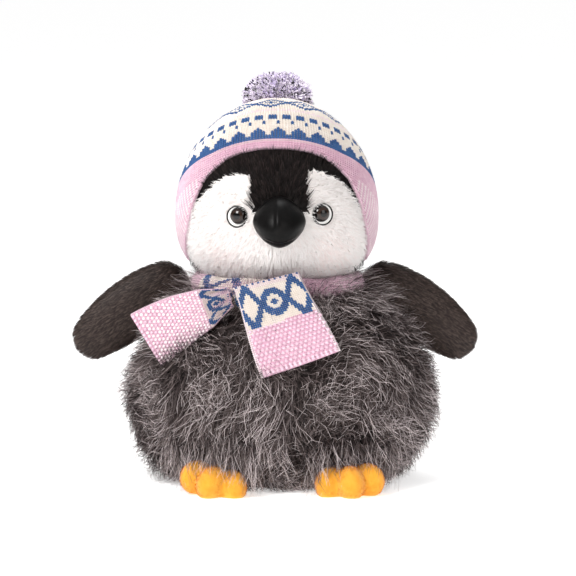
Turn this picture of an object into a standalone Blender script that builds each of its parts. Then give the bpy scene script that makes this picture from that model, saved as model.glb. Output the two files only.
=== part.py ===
"""A plush penguin chick sitting upright, in a knitted earflap hat and a tied scarf.

Units are metres, +Z is up and the chick faces -Y. Its own left side is +X. The origin is the
centre of the flat base panel, on the surface that it sits on.
Every soft piece is a fabric panel or shell of real thickness around its own stuffing.
"""
import math

import bmesh
import bpy
from mathutils import Matrix, Vector

MM = 0.001
GAP = 0.3 * MM            # between two pieces that touch
FAR = 400 * MM            # larger than anything in the toy

# Body: an egg cut flat at the base and at the neck
BODY_HALF_WIDTH = 104 * MM
BODY_HALF_DEPTH = 93 * MM
BODY_CENTRE_Z = 56 * MM
BODY_UP = 91 * MM         # from the widest level to the uncut top
BODY_DOWN = 72 * MM       # from the widest level to the uncut bottom
BODY_PILE = 6 * MM        # thickness of the long-pile fabric
BODY_SEAM_Y = 22 * MM     # side seam between the front and back panels
BASE_THICKNESS = 3 * MM
PELLET_TOP = 27 * MM      # the pellet bag lies under this level, the stuffing above it
NECK_Z = 145 * MM

# Head: an egg, wide and low in the cheeks
HEAD_CENTRE = Vector((-3, 0, 192)) * MM
HEAD_HALF_WIDTH = 69.5 * MM
HEAD_HALF_DEPTH = 62 * MM
HEAD_UP = 80 * MM
HEAD_DOWN = 49 * MM
CHEEK_FULLNESS = 2.6      # exponent of the lower half: 2 is an ellipse, more is squarer
HEAD_PILE = 3.5 * MM
HEAD_SEAM_Y = 9 * MM      # seam between the crown and the back of the head
FACE_CENTRE_Z = 194 * MM
FACE_HALF_WIDTH = 64 * MM
FACE_HALF_HEIGHT = 45 * MM
BLAZE_HALF_WIDTH = 17.5 * MM
BLAZE_BOTTOM_Z = 204 * MM

# Safety eyes: a domed button on a ribbed shank, held by a washer behind the fabric
EYE_SPACING = 60 * MM
EYE_Z = 197 * MM
EYE_RADIUS = 5.8 * MM
EYE_DOME = 4.4 * MM
EYE_WHITE_RADIUS = 7.6 * MM
EYE_WHITE_THICKNESS = 1.2 * MM
SHANK_RADIUS = 1.6 * MM
SHANK_LENGTH = 11 * MM
WASHER_RADIUS = 6.5 * MM
WASHER_THICKNESS = 1.6 * MM

# Beak: two felt shells sewn round a wad of stuffing
BEAK_CENTRE = Vector((-3, -68, 193.5)) * MM
BEAK_HALF = Vector((18, 21, 17)) * MM
BEAK_DROOP = 7 * MM       # how far the tip hangs below the root
BEAK_FELT = 1.6 * MM
BEAK_PARTING = -7 * MM    # height of the seam between the shells, from the beak's centre

# Hat: a knitted cap over the head egg, its rim steep over the brow and level at the back
HAT_CLEARANCE = 1.2 * MM
HAT_KNIT = 3.2 * MM
CROWN_SIDE_Z = 211 * MM   # lower edge of the patterned crown, at the ears
CROWN_SLOPE = 0.82        # how steeply that edge climbs towards the brow
BAND_WIDTH = 7 * MM
BACK_SLOPE = 0.25         # how it falls from the ears to the nape
FLAP_HALF_WIDTH = 24 * MM
FLAP_Y = -6 * MM
FLAP_BOTTOM_Z = 158 * MM
FLAP_KNIT = 3.4 * MM

# Pompom: on the back of the crown, held by the knot of its tying yarn
POMPOM_PLACE = math.radians(41)
POMPOM_HALF_WIDTH = 22 * MM
POMPOM_HALF_HEIGHT = 17 * MM
KNOT_RADIUS = 2.2 * MM

# Scarf: a wrap round the neck, a knot at the throat and two tails
WRAP_HALF = Vector((54.5, 49.5)) * MM
WRAP_Z = 144 * MM
WRAP_RADIUS = 8.1 * MM
SCARF_KNIT = 2.6 * MM
TAIL_LENGTH = 70 * MM
FRONT_TAIL_TOP = Vector((-10.5, -67, 151)) * MM
FRONT_TAIL_WIDTHS = (45 * MM, 54 * MM)
FRONT_TAIL_LEAN = math.radians(19)      # turned to the toy's left, in the frontal plane
FRONT_TAIL_SLOPES = (math.radians(48), math.radians(80))
SIDE_TAIL_ROOT = Vector((-38, -71, 137)) * MM
SIDE_TAIL_WIDTHS = (20 * MM, 42 * MM)
SIDE_TAIL_HEADING = math.radians(200)   # in plan, from +X
SIDE_TAIL_DIP = math.radians(27)
SIDE_TAIL_TWIST = math.radians(20)
SCARF_KNOT_CENTRE = Vector((-25, -60.5, 138)) * MM
SCARF_KNOT_HALF = Vector((7, 4.8, 8)) * MM

# Wings: flat paddles sewn to the shoulders
WINGS_MIDDLE_X = -4.5 * MM
WING_Y = 18 * MM
WING_ROOT = (84 * MM, 131 * MM)         # middle of the rounded root: its X and Z
WING_TIP = (127 * MM, 103 * MM)
WING_ROOT_RADIUS = 23 * MM
WING_TIP_RADIUS = 18 * MM
WING_FLATNESS = 0.42                    # its depth as a share of its height
WING_PILE = 2.5 * MM
WING_SWING = [math.radians(a) for a in (-8, 0, 8, 16, 22)]
WING_CLEARANCE = 1 * MM

# Feet: three toes and a heel, with a flat sole
FOOT_OUT = {"left": 47 * MM, "right": 44 * MM}   # how far each foot is from the middle
FOOT_Y = -78 * MM
FOOT_SPLAY = {"left": math.radians(8), "right": math.radians(20)}
TOE_HALF = Vector((10.5, 17, 13)) * MM
TOE_FAN = math.radians(32)
TOE_REACH = 18 * MM
TOE_Z = 9.5 * MM
HEEL_HALF = Vector((20, 17, 12)) * MM
FOOT_FELT = 1.8 * MM
SOLE_THICKNESS = 1.4 * MM
FOOT_CLEARANCE = 3.5 * MM
ANKLE_Y = -66 * MM
ANKLE_Z = 3 * MM

SIDES = {"left": 1, "right": -1}
# Turns an outline drawn as (depth, height) so that it is seen from the side
SIDE_VIEW = Matrix(((0, 0, 1, 0), (1, 0, 0, 0), (0, 1, 0, 0), (0, 0, 0, 1)))

COLOURS = {
    "long_pile_grey": ((0.13, 0.105, 0.105), 0.95),
    "short_pile_brown": ((0.06, 0.04, 0.034), 0.9),
    "black_plush": ((0.022, 0.014, 0.012), 0.9),
    "white_plush": ((0.88, 0.83, 0.81), 0.9),
    "black_felt": ((0.01, 0.009, 0.009), 0.7),
    "orange_felt": ((0.95, 0.42, 0.03), 0.85),
    "gloss_black": ((0.008, 0.007, 0.006), 0.1),
    "white_felt": ((0.9, 0.89, 0.87), 0.8),
    "knit_cream": ((0.86, 0.79, 0.72), 0.85),
    "knit_pink": ((0.8, 0.52, 0.62), 0.85),
    "lilac_yarn": ((0.55, 0.47, 0.62), 0.9),
    "polyester_fill": ((0.9, 0.9, 0.9), 1.0),
    "cotton_bag": ((0.75, 0.72, 0.65), 0.9),
    "nylon_washer": ((0.8, 0.8, 0.78), 0.4),
}


# ---------------------------------------------------------------- scene and helpers

def clear_scene():
    for old in list(bpy.data.objects):
        bpy.data.objects.remove(old)


def make_collection(name):
    made = bpy.data.collections.new(name)
    bpy.context.scene.collection.children.link(made)
    return made


def make_material(name):
    colour, roughness = COLOURS[name]
    made = bpy.data.materials.new(name)
    made.use_nodes = True
    shader = made.node_tree.nodes["Principled BSDF"]
    shader.inputs["Base Color"].default_value = (*colour, 1)
    shader.inputs["Roughness"].default_value = roughness
    shader.inputs["Metallic"].default_value = 0
    made.diffuse_color = (*colour, 1)
    return made


clear_scene()
PENGUIN = make_collection("plush_penguin")
CUTTERS = make_collection("cutters")
MATERIALS = {name: make_material(name) for name in COLOURS}


def add_object(name, mesh, collection=CUTTERS):
    made = bpy.data.objects.new(name, mesh)
    collection.objects.link(made)
    if collection is CUTTERS:
        made.hide_render = True
        made.display_type = "WIRE"
    return made


def show(obj, name, material):
    """Makes a helper into a part of the toy, under its own name."""
    CUTTERS.objects.unlink(obj)
    PENGUIN.objects.link(obj)
    obj.hide_render = False
    obj.display_type = "TEXTURED"
    obj.name = name
    obj.data.name = name
    obj.data.materials.clear()
    obj.data.materials.append(MATERIALS[material])
    obj.data.shade_smooth()
    return obj


def boolean(obj, other, operation, solver="EXACT"):
    modifier = obj.modifiers.new(operation.lower(), "BOOLEAN")
    modifier.operation = operation
    modifier.object = other
    modifier.solver = solver
    return obj


def egg(name, half, centre, up=None, down=None, segments=32, rings=18):
    """A ball scaled to its half sizes, whose upper and lower halves may have different heights."""
    mesh = bpy.data.meshes.new(name)
    shape = bmesh.new()
    bmesh.ops.create_uvsphere(shape, u_segments=segments, v_segments=rings, radius=1)
    up = half[2] if up is None else up
    down = half[2] if down is None else down
    for vertex in shape.verts:
        x, y, z = vertex.co
        vertex.co = Vector((x * half[0], y * half[1], z * (up if z > 0 else down))) + Vector(centre)
    shape.to_mesh(mesh)
    shape.free()
    return add_object(name, mesh)


def block(name, low, high):
    """A box between two corners."""
    mesh = bpy.data.meshes.new(name)
    shape = bmesh.new()
    bmesh.ops.create_cube(shape, size=1)
    low, high = Vector(low), Vector(high)
    size, middle = high - low, (low + high) / 2
    for vertex in shape.verts:
        vertex.co = Vector(c * s for c, s in zip(vertex.co, size)) + middle
    shape.to_mesh(mesh)
    shape.free()
    return add_object(name, mesh)


def cylinder(name, radius, depth, matrix, top_radius=None, segments=24):
    """A cylinder or cone along the matrix's Z axis, starting at its origin."""
    mesh = bpy.data.meshes.new(name)
    shape = bmesh.new()
    bmesh.ops.create_cone(
        shape, cap_ends=True, segments=segments, radius1=radius,
        radius2=radius if top_radius is None else top_radius, depth=depth,
        matrix=matrix @ Matrix.Translation((0, 0, depth / 2)),
    )
    shape.to_mesh(mesh)
    shape.free()
    return add_object(name, mesh)


def outline(name, points, half_depth, matrix):
    """A flat outline in its own XY plane, made half_depth thick each way, as a mesh."""
    curve = bpy.data.curves.new(name, "CURVE")
    curve.dimensions = "2D"
    curve.fill_mode = "BOTH"
    curve.extrude = half_depth
    spline = curve.splines.new("POLY")
    spline.points.add(len(points) - 1)
    for point, (x, y) in zip(spline.points, points):
        point.co = (x, y, 0, 1)
    spline.use_cyclic_u = True
    flat = add_object(name + "_outline", curve)
    bpy.context.view_layer.update()
    mesh = bpy.data.meshes.new_from_object(flat.evaluated_get(bpy.context.evaluated_depsgraph_get()))
    bpy.data.objects.remove(flat)
    shape = bmesh.new()
    shape.from_mesh(mesh)
    bmesh.ops.remove_doubles(shape, verts=shape.verts, dist=0.0001)
    bmesh.ops.recalc_face_normals(shape, faces=shape.faces)
    shape.transform(matrix)
    shape.to_mesh(mesh)
    shape.free()
    return add_object(name, mesh)


def arc(centre, radius, start, end, steps):
    """Points of an arc, with its angles in degrees and a radius for each axis."""
    angles = [math.radians(start + (end - start) * i / steps) for i in range(steps + 1)]
    return [(centre[0] + radius[0] * math.cos(a), centre[1] + radius[1] * math.sin(a)) for a in angles]


def axes_along(place, direction):
    """A frame at place whose Z axis points in that direction."""
    return Matrix.Translation(place) @ Vector(direction).to_track_quat("Z", "Y").to_matrix().to_4x4()


# ---------------------------------------------------------------- body

def body_form(name, inset=0.0):
    """The body's egg, made smaller by the inset, or larger by a negative one."""
    half = (BODY_HALF_WIDTH - inset, BODY_HALF_DEPTH - inset, 0)
    centre = (0, 0, BODY_CENTRE_Z)
    return egg(name, half, centre, BODY_UP - inset, BODY_DOWN - inset, segments=28, rings=14)


def make_body():
    inner = body_form("body_inner", BODY_PILE)
    seams = {
        "body_front": (-FAR, BODY_SEAM_Y - GAP / 2),
        "body_back": (BODY_SEAM_Y + GAP / 2, FAR),
    }
    for name, (front, back) in seams.items():
        region = block(
            name + "_region",
            (-FAR, front, BASE_THICKNESS + GAP),
            (FAR, back, NECK_Z - GAP / 2),
        )
        shell = body_form(name + "_shell")
        boolean(shell, inner, "DIFFERENCE")
        boolean(shell, region, "INTERSECT")
        show(shell, name, "long_pile_grey")

    base = body_form("base_form")
    boolean(base, block("base_region", (-FAR, -FAR, 0), (FAR, FAR, BASE_THICKNESS)), "INTERSECT")
    show(base, "base_panel", "short_pile_brown")

    fill = body_form("fill_form", BODY_PILE + 2 * GAP)
    region = block("fill_region", (-FAR, -FAR, PELLET_TOP + GAP), (FAR, FAR, NECK_Z - GAP / 2))
    boolean(fill, region, "INTERSECT")
    show(fill, "body_stuffing", "polyester_fill")

    low = BASE_THICKNESS + GAP
    half_height = (PELLET_TOP - low) / 2
    bag = egg("bag_form", (60 * MM, 53 * MM, half_height), (0, 0, low + half_height), segments=22, rings=8)
    show(bag, "pellet_bag", "cotton_bag")


# ---------------------------------------------------------------- head

def head_form(name, inset=0.0, segments=28, rings=16):
    half = (HEAD_HALF_WIDTH - inset, HEAD_HALF_DEPTH - inset, 0)
    made = egg(name, half, (0, 0, 0), HEAD_UP - inset, HEAD_DOWN - inset, segments, rings)
    for vertex in made.data.vertices:
        below = min(1.0, max(0.0, -vertex.co.z / (HEAD_DOWN - inset)))
        if 0 < below < 1:
            fuller = (1 - below**CHEEK_FULLNESS) ** (1 / CHEEK_FULLNESS) / math.sqrt(1 - below**2)
            vertex.co.x *= fuller
            vertex.co.y *= fuller
        vertex.co += HEAD_CENTRE
    return made


def head_point(x, z):
    """The point of the face at that width and height, and the direction square to it."""
    across = (x - HEAD_CENTRE.x) / HEAD_HALF_WIDTH
    tall = HEAD_UP if z > HEAD_CENTRE.z else HEAD_DOWN
    above = (z - HEAD_CENTRE.z) / tall
    ahead = -math.sqrt(1 - across**2 - above**2)
    place = Vector((x, HEAD_CENTRE.y + ahead * HEAD_HALF_DEPTH, z))
    square = Vector((across / HEAD_HALF_WIDTH, ahead / HEAD_HALF_DEPTH, above / tall)).normalized()
    return place, square


def face_region(name, margin):
    """A prism through the head: the white face, seen from the front, less the blaze."""
    middle = (HEAD_CENTRE.x, -FAR - 2 * MM, FACE_CENTRE_Z)
    facing = Matrix.Translation(middle) @ Matrix.Rotation(math.pi / 2, 4, "X")
    radius = (FACE_HALF_WIDTH + margin, FACE_HALF_HEIGHT + margin)
    disc = outline(name, arc((0, 0), radius, 0, 360 * 31 / 32, 31), FAR, facing)
    blaze = block(
        name + "_blaze",
        (HEAD_CENTRE.x - BLAZE_HALF_WIDTH + margin, -2 * FAR, BLAZE_BOTTOM_Z + margin),
        (HEAD_CENTRE.x + BLAZE_HALF_WIDTH - margin, 2 * FAR, FAR),
    )
    return boolean(disc, blaze, "DIFFERENCE")


def make_head():
    inner = head_form("head_inner", HEAD_PILE)
    front = block("head_front_region", (-FAR, -FAR, NECK_Z + GAP / 2), (FAR, HEAD_SEAM_Y - GAP / 2, FAR))
    face = face_region("face_region", 0)
    not_crown = face_region("not_crown_region", GAP)
    shanks = [eye_shank_hole(side) for side in SIDES]
    for side, sign in SIDES.items():
        panel = head_form("face_form_" + side)
        boolean(panel, inner, "DIFFERENCE")
        boolean(panel, front, "INTERSECT")
        boolean(panel, face, "INTERSECT")
        ends = sorted((HEAD_CENTRE.x + sign * GAP / 2, HEAD_CENTRE.x + sign * FAR))
        half = block("face_half_" + side, (ends[0], -FAR, 0), (ends[1], FAR, FAR))
        boolean(panel, half, "INTERSECT")
        for shank in shanks:
            boolean(panel, shank, "DIFFERENCE")
        show(panel, "face_" + side, "white_plush")

    crown = head_form("crown_form")
    boolean(crown, inner, "DIFFERENCE")
    boolean(crown, front, "INTERSECT")
    boolean(crown, not_crown, "DIFFERENCE")
    show(crown, "head_crown", "black_plush")

    back = head_form("back_form")
    boolean(back, inner, "DIFFERENCE")
    rear = block("head_back_region", (-FAR, HEAD_SEAM_Y + GAP / 2, NECK_Z + GAP / 2), (FAR, FAR, FAR))
    boolean(back, rear, "INTERSECT")
    show(back, "head_back", "black_plush")

    fill = head_form("head_fill", HEAD_PILE + 3 * GAP, 22, 12)
    boolean(fill, block("head_fill_region", (-FAR, -FAR, NECK_Z + GAP / 2), (FAR, FAR, FAR)), "INTERSECT")
    for side in SIDES:
        boolean(fill, eye_pocket(side), "DIFFERENCE")
    show(fill, "head_stuffing", "polyester_fill")


# ---------------------------------------------------------------- eyes

def eye_axes(side):
    """A frame on the face where this eye sits, with its Z axis outwards."""
    x = HEAD_CENTRE.x + SIDES[side] * EYE_SPACING / 2
    place, square = head_point(x, EYE_Z)
    return axes_along(place, square)


def eye_shank_hole(side):
    inwards = Matrix.Translation((0, 0, -12 * MM))
    return cylinder("shank_hole_" + side, SHANK_RADIUS + GAP, 24 * MM, eye_axes(side) @ inwards)


def eye_pocket(side):
    """The room that the washer takes in the stuffing."""
    depth = 14 * MM
    inwards = Matrix.Translation((0, 0, -depth))
    return cylinder("eye_pocket_" + side, WASHER_RADIUS + 1 * MM, 2 * depth, eye_axes(side) @ inwards)


def make_eye(side):
    axes = eye_axes(side)
    white = cylinder(
        "white_form_" + side, EYE_WHITE_RADIUS, EYE_WHITE_THICKNESS,
        axes @ Matrix.Translation((0, 0, GAP)), EYE_WHITE_RADIUS - 0.7 * MM, segments=20,
    )
    boolean(white, eye_shank_hole(side), "DIFFERENCE")
    show(white, "eye_white_" + side, "white_felt")

    seat = EYE_WHITE_THICKNESS + 2 * GAP
    dome = egg("dome_form_" + side, (EYE_RADIUS, EYE_RADIUS, EYE_DOME), (0, 0, 0), segments=18, rings=10)
    floor = block("dome_floor_" + side, (-FAR, -FAR, 0), (FAR, FAR, FAR))
    boolean(dome, floor, "INTERSECT")
    shank_frame = Matrix.Translation((0, 0, -SHANK_LENGTH))
    shank = cylinder("shank_form_" + side, SHANK_RADIUS, SHANK_LENGTH + 1 * MM, shank_frame, segments=12)
    boolean(dome, shank, "UNION")
    eye = show(dome, "eye_" + side, "gloss_black")
    eye.matrix_world = axes @ Matrix.Translation((0, 0, seat))
    for helper in (floor, shank):
        helper.matrix_world = eye.matrix_world

    behind = Matrix.Translation((0, 0, -HEAD_PILE - 2 * GAP - WASHER_THICKNESS - 0.5 * MM))
    washer = cylinder("washer_form_" + side, WASHER_RADIUS, WASHER_THICKNESS, axes @ behind, segments=20)
    boolean(washer, eye_shank_hole(side), "DIFFERENCE")
    show(washer, "eye_washer_" + side, "nylon_washer")


# ---------------------------------------------------------------- beak

def beak_form(name, inset=0.0):
    """A blunt egg whose front end droops into the tip."""
    half = BEAK_HALF - Vector((inset, inset, inset))
    made = egg(name, half, (0, 0, 0), segments=20, rings=12)
    for vertex in made.data.vertices:
        ahead = max(0.0, -vertex.co.y / BEAK_HALF.y)
        vertex.co.z -= BEAK_DROOP * ahead**2
        vertex.co.x *= 1 - 0.18 * ahead**2
        vertex.co += BEAK_CENTRE
    return made


def beak_region(name, low, high):
    """A slab that droops as the beak does, so that its faces follow the seam."""
    steps = 8
    reach = 2 * BEAK_HALF.y

    def edge(height):
        return [
            (-reach * i / steps, height - BEAK_DROOP * min(1.6, (reach * i / steps / BEAK_HALF.y)) ** 2)
            for i in range(steps + 1)
        ]

    points = [(reach, low)] + edge(low) + edge(high)[::-1] + [(reach, high)]
    facing = Matrix.Translation(BEAK_CENTRE) @ SIDE_VIEW
    return outline(name, points, 60 * MM, facing)


def make_beak():
    inner = beak_form("beak_inner", BEAK_FELT)
    clear_of_face = head_form("beak_head_clearance", -GAP)
    regions = {
        "beak_upper": (BEAK_PARTING + GAP / 2, 60 * MM),
        "beak_lower": (-60 * MM, BEAK_PARTING - GAP / 2),
    }
    for name, (low, high) in regions.items():
        shell = beak_form(name + "_form")
        boolean(shell, inner, "DIFFERENCE")
        boolean(shell, clear_of_face, "DIFFERENCE")
        boolean(shell, beak_region(name + "_region", low, high), "INTERSECT")
        show(shell, name, "black_felt")
    fill = beak_form("beak_fill", BEAK_FELT + 2 * GAP)
    boolean(fill, clear_of_face, "DIFFERENCE")
    show(fill, "beak_stuffing", "polyester_fill")


# ---------------------------------------------------------------- hat

def hat_edge(name, side_z, top):
    """A prism, seen from the side, above the bent line that is an edge of the crown or band."""
    front, back = -90 * MM, 90 * MM
    points = [
        (back, side_z - BACK_SLOPE * back),
        (0, side_z),
        (front, side_z - CROWN_SLOPE * front),
        (front, top),
        (back, top),
    ]
    return outline(name, points, 120 * MM, SIDE_VIEW)


def make_hat():
    rim_drop = BAND_WIDTH * math.hypot(1, CROWN_SLOPE)
    inner = head_form("hat_inner", -HAT_CLEARANCE)
    crown = head_form("hat_crown_form", -HAT_CLEARANCE - HAT_KNIT)
    boolean(crown, inner, "DIFFERENCE")
    boolean(crown, hat_edge("crown_edge", CROWN_SIDE_Z, FAR), "INTERSECT")
    show(crown, "hat_crown", "knit_cream")

    band = head_form("hat_band_form", -HAT_CLEARANCE - HAT_KNIT - 0.6 * MM)
    boolean(band, inner, "DIFFERENCE")
    boolean(band, hat_edge("rim_edge", CROWN_SIDE_Z - rim_drop, FAR), "INTERSECT")
    above = hat_edge("above_band", CROWN_SIDE_Z - GAP, FAR)
    boolean(band, above, "DIFFERENCE")
    show(band, "hat_band", "knit_pink")

    for side, sign in SIDES.items():
        make_earflap(side, sign, CROWN_SIDE_Z - rim_drop - 2 * GAP)


def make_earflap(side, sign, top):
    """A tongue of knit that hangs straight down from the band, outside the widest part of the cheek."""
    radius = (FLAP_HALF_WIDTH, FLAP_HALF_WIDTH * 0.8)
    points = arc((FLAP_Y, FLAP_BOTTOM_Z + radius[1]), radius, 0, -180, 12)
    front, back = FLAP_Y - FLAP_HALF_WIDTH, FLAP_Y + FLAP_HALF_WIDTH
    points += [(front, top - CROWN_SLOPE * front), (0, top), (back, top - BACK_SLOPE * back)]
    inner_x = HEAD_HALF_WIDTH + 0.8 * MM
    middle = HEAD_CENTRE.x + sign * (inner_x + FLAP_KNIT / 2)
    facing = Matrix.Translation((middle, 0, 0)) @ SIDE_VIEW
    flap = outline("flap_form_" + side, points, FLAP_KNIT / 2, facing)
    show(flap, "hat_earflap_" + side, "knit_pink")


def pompom_seat():
    """The middle of the pompom's knot on the back of the crown, and the direction square to the knit."""
    out = HAT_CLEARANCE + HAT_KNIT
    half_depth, up = HEAD_HALF_DEPTH + out, HEAD_UP + out
    sine, cosine = math.sin(POMPOM_PLACE), math.cos(POMPOM_PLACE)
    place = HEAD_CENTRE + Vector((0, half_depth * sine, up * cosine))
    square = Vector((0, sine / half_depth, cosine / up)).normalized()
    return place + square * (GAP + KNOT_RADIUS), square


def make_pompom():
    knot, square = pompom_seat()
    show(egg("knot_form", (KNOT_RADIUS,) * 3, knot, segments=14, rings=8), "pompom_knot", "lilac_yarn")
    half = (POMPOM_HALF_WIDTH, POMPOM_HALF_WIDTH, POMPOM_HALF_HEIGHT)
    ball = egg("pompom_form", half, (0, 0, 0), segments=18, rings=10)
    ball.data.transform(axes_along(knot + square * (KNOT_RADIUS + GAP + POMPOM_HALF_HEIGHT), square))
    show(ball, "pompom", "lilac_yarn")


# ---------------------------------------------------------------- scarf

def cloth_strip(name, place, widths, thickness, rows=8, columns=3):
    """A strip of cloth. place(along, across) gives each point, both in metres from the top middle."""
    mesh = bpy.data.meshes.new(name)
    shape = bmesh.new()
    bmesh.ops.create_grid(shape, x_segments=columns, y_segments=rows, size=0.5)
    for vertex in shape.verts:
        share = vertex.co.y + 0.5
        width = widths[0] + (widths[1] - widths[0]) * share
        vertex.co = place(share * TAIL_LENGTH, vertex.co.x * width)
    shape.to_mesh(mesh)
    shape.free()
    strip = add_object(name, mesh)
    solidify = strip.modifiers.new("knit", "SOLIDIFY")
    solidify.thickness = thickness
    solidify.offset = 0
    solidify.use_even_offset = True
    return strip


def front_tail_point(along, across):
    """An arc over the breast, leaning to the toy's left."""
    start, end = FRONT_TAIL_SLOPES
    radius = TAIL_LENGTH / (end - start)
    slope = start + along / radius
    ahead = radius * (math.sin(slope) - math.sin(start))
    drop = radius * (math.cos(start) - math.cos(slope))
    flat = Vector((across, -ahead, -drop))
    return FRONT_TAIL_TOP + Matrix.Rotation(-FRONT_TAIL_LEAN, 3, "Y") @ flat


def side_tail_point(along, across):
    """A strip that stands out sideways from the knot, twisting a little."""
    heading = Vector((math.cos(SIDE_TAIL_HEADING), -math.sin(SIDE_TAIL_HEADING), 0))
    dip = SIDE_TAIL_DIP * (0.7 + 0.3 * along / TAIL_LENGTH)
    forward = heading * math.cos(dip) + Vector((0, 0, -math.sin(dip)))
    twist = SIDE_TAIL_TWIST * along / TAIL_LENGTH
    flat = forward.cross(heading.cross(Vector((0, 0, 1))).normalized()).normalized()
    upright = Matrix.Rotation(-twist, 3, forward) @ flat
    return SIDE_TAIL_ROOT + forward * along + upright * across


def make_scarf():
    bpy.ops.mesh.primitive_torus_add(
        major_segments=28, minor_segments=8, major_radius=1, minor_radius=WRAP_RADIUS / WRAP_HALF.x
    )
    wrap = bpy.context.object
    for owner in list(wrap.users_collection):
        owner.objects.unlink(wrap)
    CUTTERS.objects.link(wrap)
    middle = Vector((HEAD_CENTRE.x, 0, WRAP_Z))
    for vertex in wrap.data.vertices:
        x, y, z = vertex.co
        vertex.co = Vector((x * WRAP_HALF.x, y * WRAP_HALF.y, z * WRAP_HALF.x)) + middle
    show(wrap, "scarf_wrap", "knit_pink")
    show(egg("scarf_knot_form", SCARF_KNOT_HALF, SCARF_KNOT_CENTRE, segments=16, rings=10), "scarf_knot", "knit_pink")
    front = cloth_strip("front_tail_form", front_tail_point, FRONT_TAIL_WIDTHS, SCARF_KNIT)
    show(front, "scarf_tail_front", "knit_cream")
    side = cloth_strip("side_tail_form", side_tail_point, SIDE_TAIL_WIDTHS, SCARF_KNIT)
    show(side, "scarf_tail_side", "knit_pink")


# ---------------------------------------------------------------- wings

def wing_form(name, sign, inset=0.0):
    """A flat paddle: the hull of a ball at the root and a smaller ball at the tip."""
    mesh = bpy.data.meshes.new(name)
    shape = bmesh.new()
    for (x, z), radius in ((WING_ROOT, WING_ROOT_RADIUS), (WING_TIP, WING_TIP_RADIUS)):
        depth = radius * WING_FLATNESS - inset
        centre = Vector((WINGS_MIDDLE_X + sign * x, WING_Y, z))
        round_end = Matrix.Translation(centre) @ Matrix.Diagonal((radius - inset, depth, radius - inset, 1))
        turned = Matrix.Rotation(math.pi / 2, 4, "X")
        bmesh.ops.create_uvsphere(
            shape, u_segments=16, v_segments=8, radius=1, matrix=round_end @ turned
        )
    hull = bmesh.ops.convex_hull(shape, input=shape.verts[:])
    inside = [item for item in hull["geom_interior"] if isinstance(item, bmesh.types.BMVert)]
    bmesh.ops.delete(shape, geom=inside, context="VERTS")
    hull_faces = [face for face in hull["geom"] if isinstance(face, bmesh.types.BMFace)]
    others = [face for face in shape.faces if face not in set(hull_faces)]
    bmesh.ops.delete(shape, geom=others, context="FACES_ONLY")
    bmesh.ops.recalc_face_normals(shape, faces=shape.faces)
    shape.to_mesh(mesh)
    shape.free()
    return add_object(name, mesh)


def swept_body(sign):
    """The body as the wing meets it over its whole swing, one copy for each step."""
    pivot = Vector((WINGS_MIDDLE_X + sign * WING_ROOT[0], 0, WING_ROOT[1]))
    copies = []
    for i, swing in enumerate(WING_SWING):
        body = body_form(f"wing_clearance_{sign}_{i}", -WING_CLEARANCE)
        back = Matrix.Rotation(sign * swing, 4, "Y")
        body.data.transform(Matrix.Translation(pivot) @ back @ Matrix.Translation(-pivot))
        copies.append(body)
    return copies


def make_wing(side):
    sign = SIDES[side]
    bodies = swept_body(sign)
    inner = wing_form("wing_inner_" + side, sign, WING_PILE)
    regions = {
        "front": ((-FAR, -FAR, 0), (FAR, WING_Y - GAP / 2, FAR)),
        "back": ((-FAR, WING_Y + GAP / 2, 0), (FAR, FAR, FAR)),
    }
    for face, corners in regions.items():
        name = f"wing_{side}_{face}"
        shell = wing_form(name + "_form", sign)
        boolean(shell, inner, "DIFFERENCE")
        for body in bodies:
            boolean(shell, body, "DIFFERENCE")
        boolean(shell, block(name + "_region", *corners), "INTERSECT")
        show(shell, name, "short_pile_brown")
    fill = wing_form("wing_fill_" + side, sign, WING_PILE + 2 * GAP)
    for body in bodies:
        boolean(fill, body, "DIFFERENCE")
    show(fill, f"wing_{side}_stuffing", "polyester_fill")


# ---------------------------------------------------------------- feet

def foot_form(name, side, inset=0.0):
    """Three fanned toes joined to a heel."""
    sign = SIDES[side]
    less = Vector((inset, inset, inset))
    turned = Matrix.Translation((FOOT_OUT[side] * sign, FOOT_Y, 0)) @ Matrix.Rotation(
        sign * FOOT_SPLAY[side], 4, "Z"
    )
    made = egg(name, HEEL_HALF - less, (0, 4 * MM, TOE_Z), segments=10, rings=6)
    made.data.transform(turned)
    for i, fan in enumerate((-TOE_FAN, 0, TOE_FAN)):
        toe = egg(f"{name}_toe_{i}", TOE_HALF - less, (0, -TOE_REACH, TOE_Z), segments=10, rings=6)
        toe.data.transform(turned @ Matrix.Rotation(fan, 4, "Z"))
        boolean(made, toe, "UNION", "MANIFOLD")
    return made


def make_foot(side):
    body = body_form("foot_body_clearance_" + side, -FOOT_CLEARANCE)
    inner = foot_form("foot_inner_" + side, side, FOOT_FELT)
    above_sole = block("above_sole_" + side, (-FAR, -FAR, SOLE_THICKNESS + GAP), (FAR, FAR, FAR))
    upper = foot_form("foot_upper_form_" + side, side)
    boolean(upper, inner, "DIFFERENCE", "MANIFOLD")
    boolean(upper, above_sole, "INTERSECT", "MANIFOLD")
    boolean(upper, body, "DIFFERENCE", "MANIFOLD")
    show(upper, f"foot_{side}_upper", "orange_felt")

    sole = foot_form("foot_sole_form_" + side, side)
    at_sole = block("sole_region_" + side, (-FAR, -FAR, 0), (FAR, FAR, SOLE_THICKNESS))
    boolean(sole, at_sole, "INTERSECT", "MANIFOLD")
    boolean(sole, body, "DIFFERENCE", "MANIFOLD")
    show(sole, f"foot_{side}_sole", "orange_felt")

    fill = foot_form("foot_fill_form_" + side, side, FOOT_FELT + GAP)
    boolean(fill, above_sole, "INTERSECT", "MANIFOLD")
    boolean(fill, body, "DIFFERENCE", "MANIFOLD")
    show(fill, f"foot_{side}_stuffing", "polyester_fill")


# ---------------------------------------------------------------- what turns about what

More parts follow.
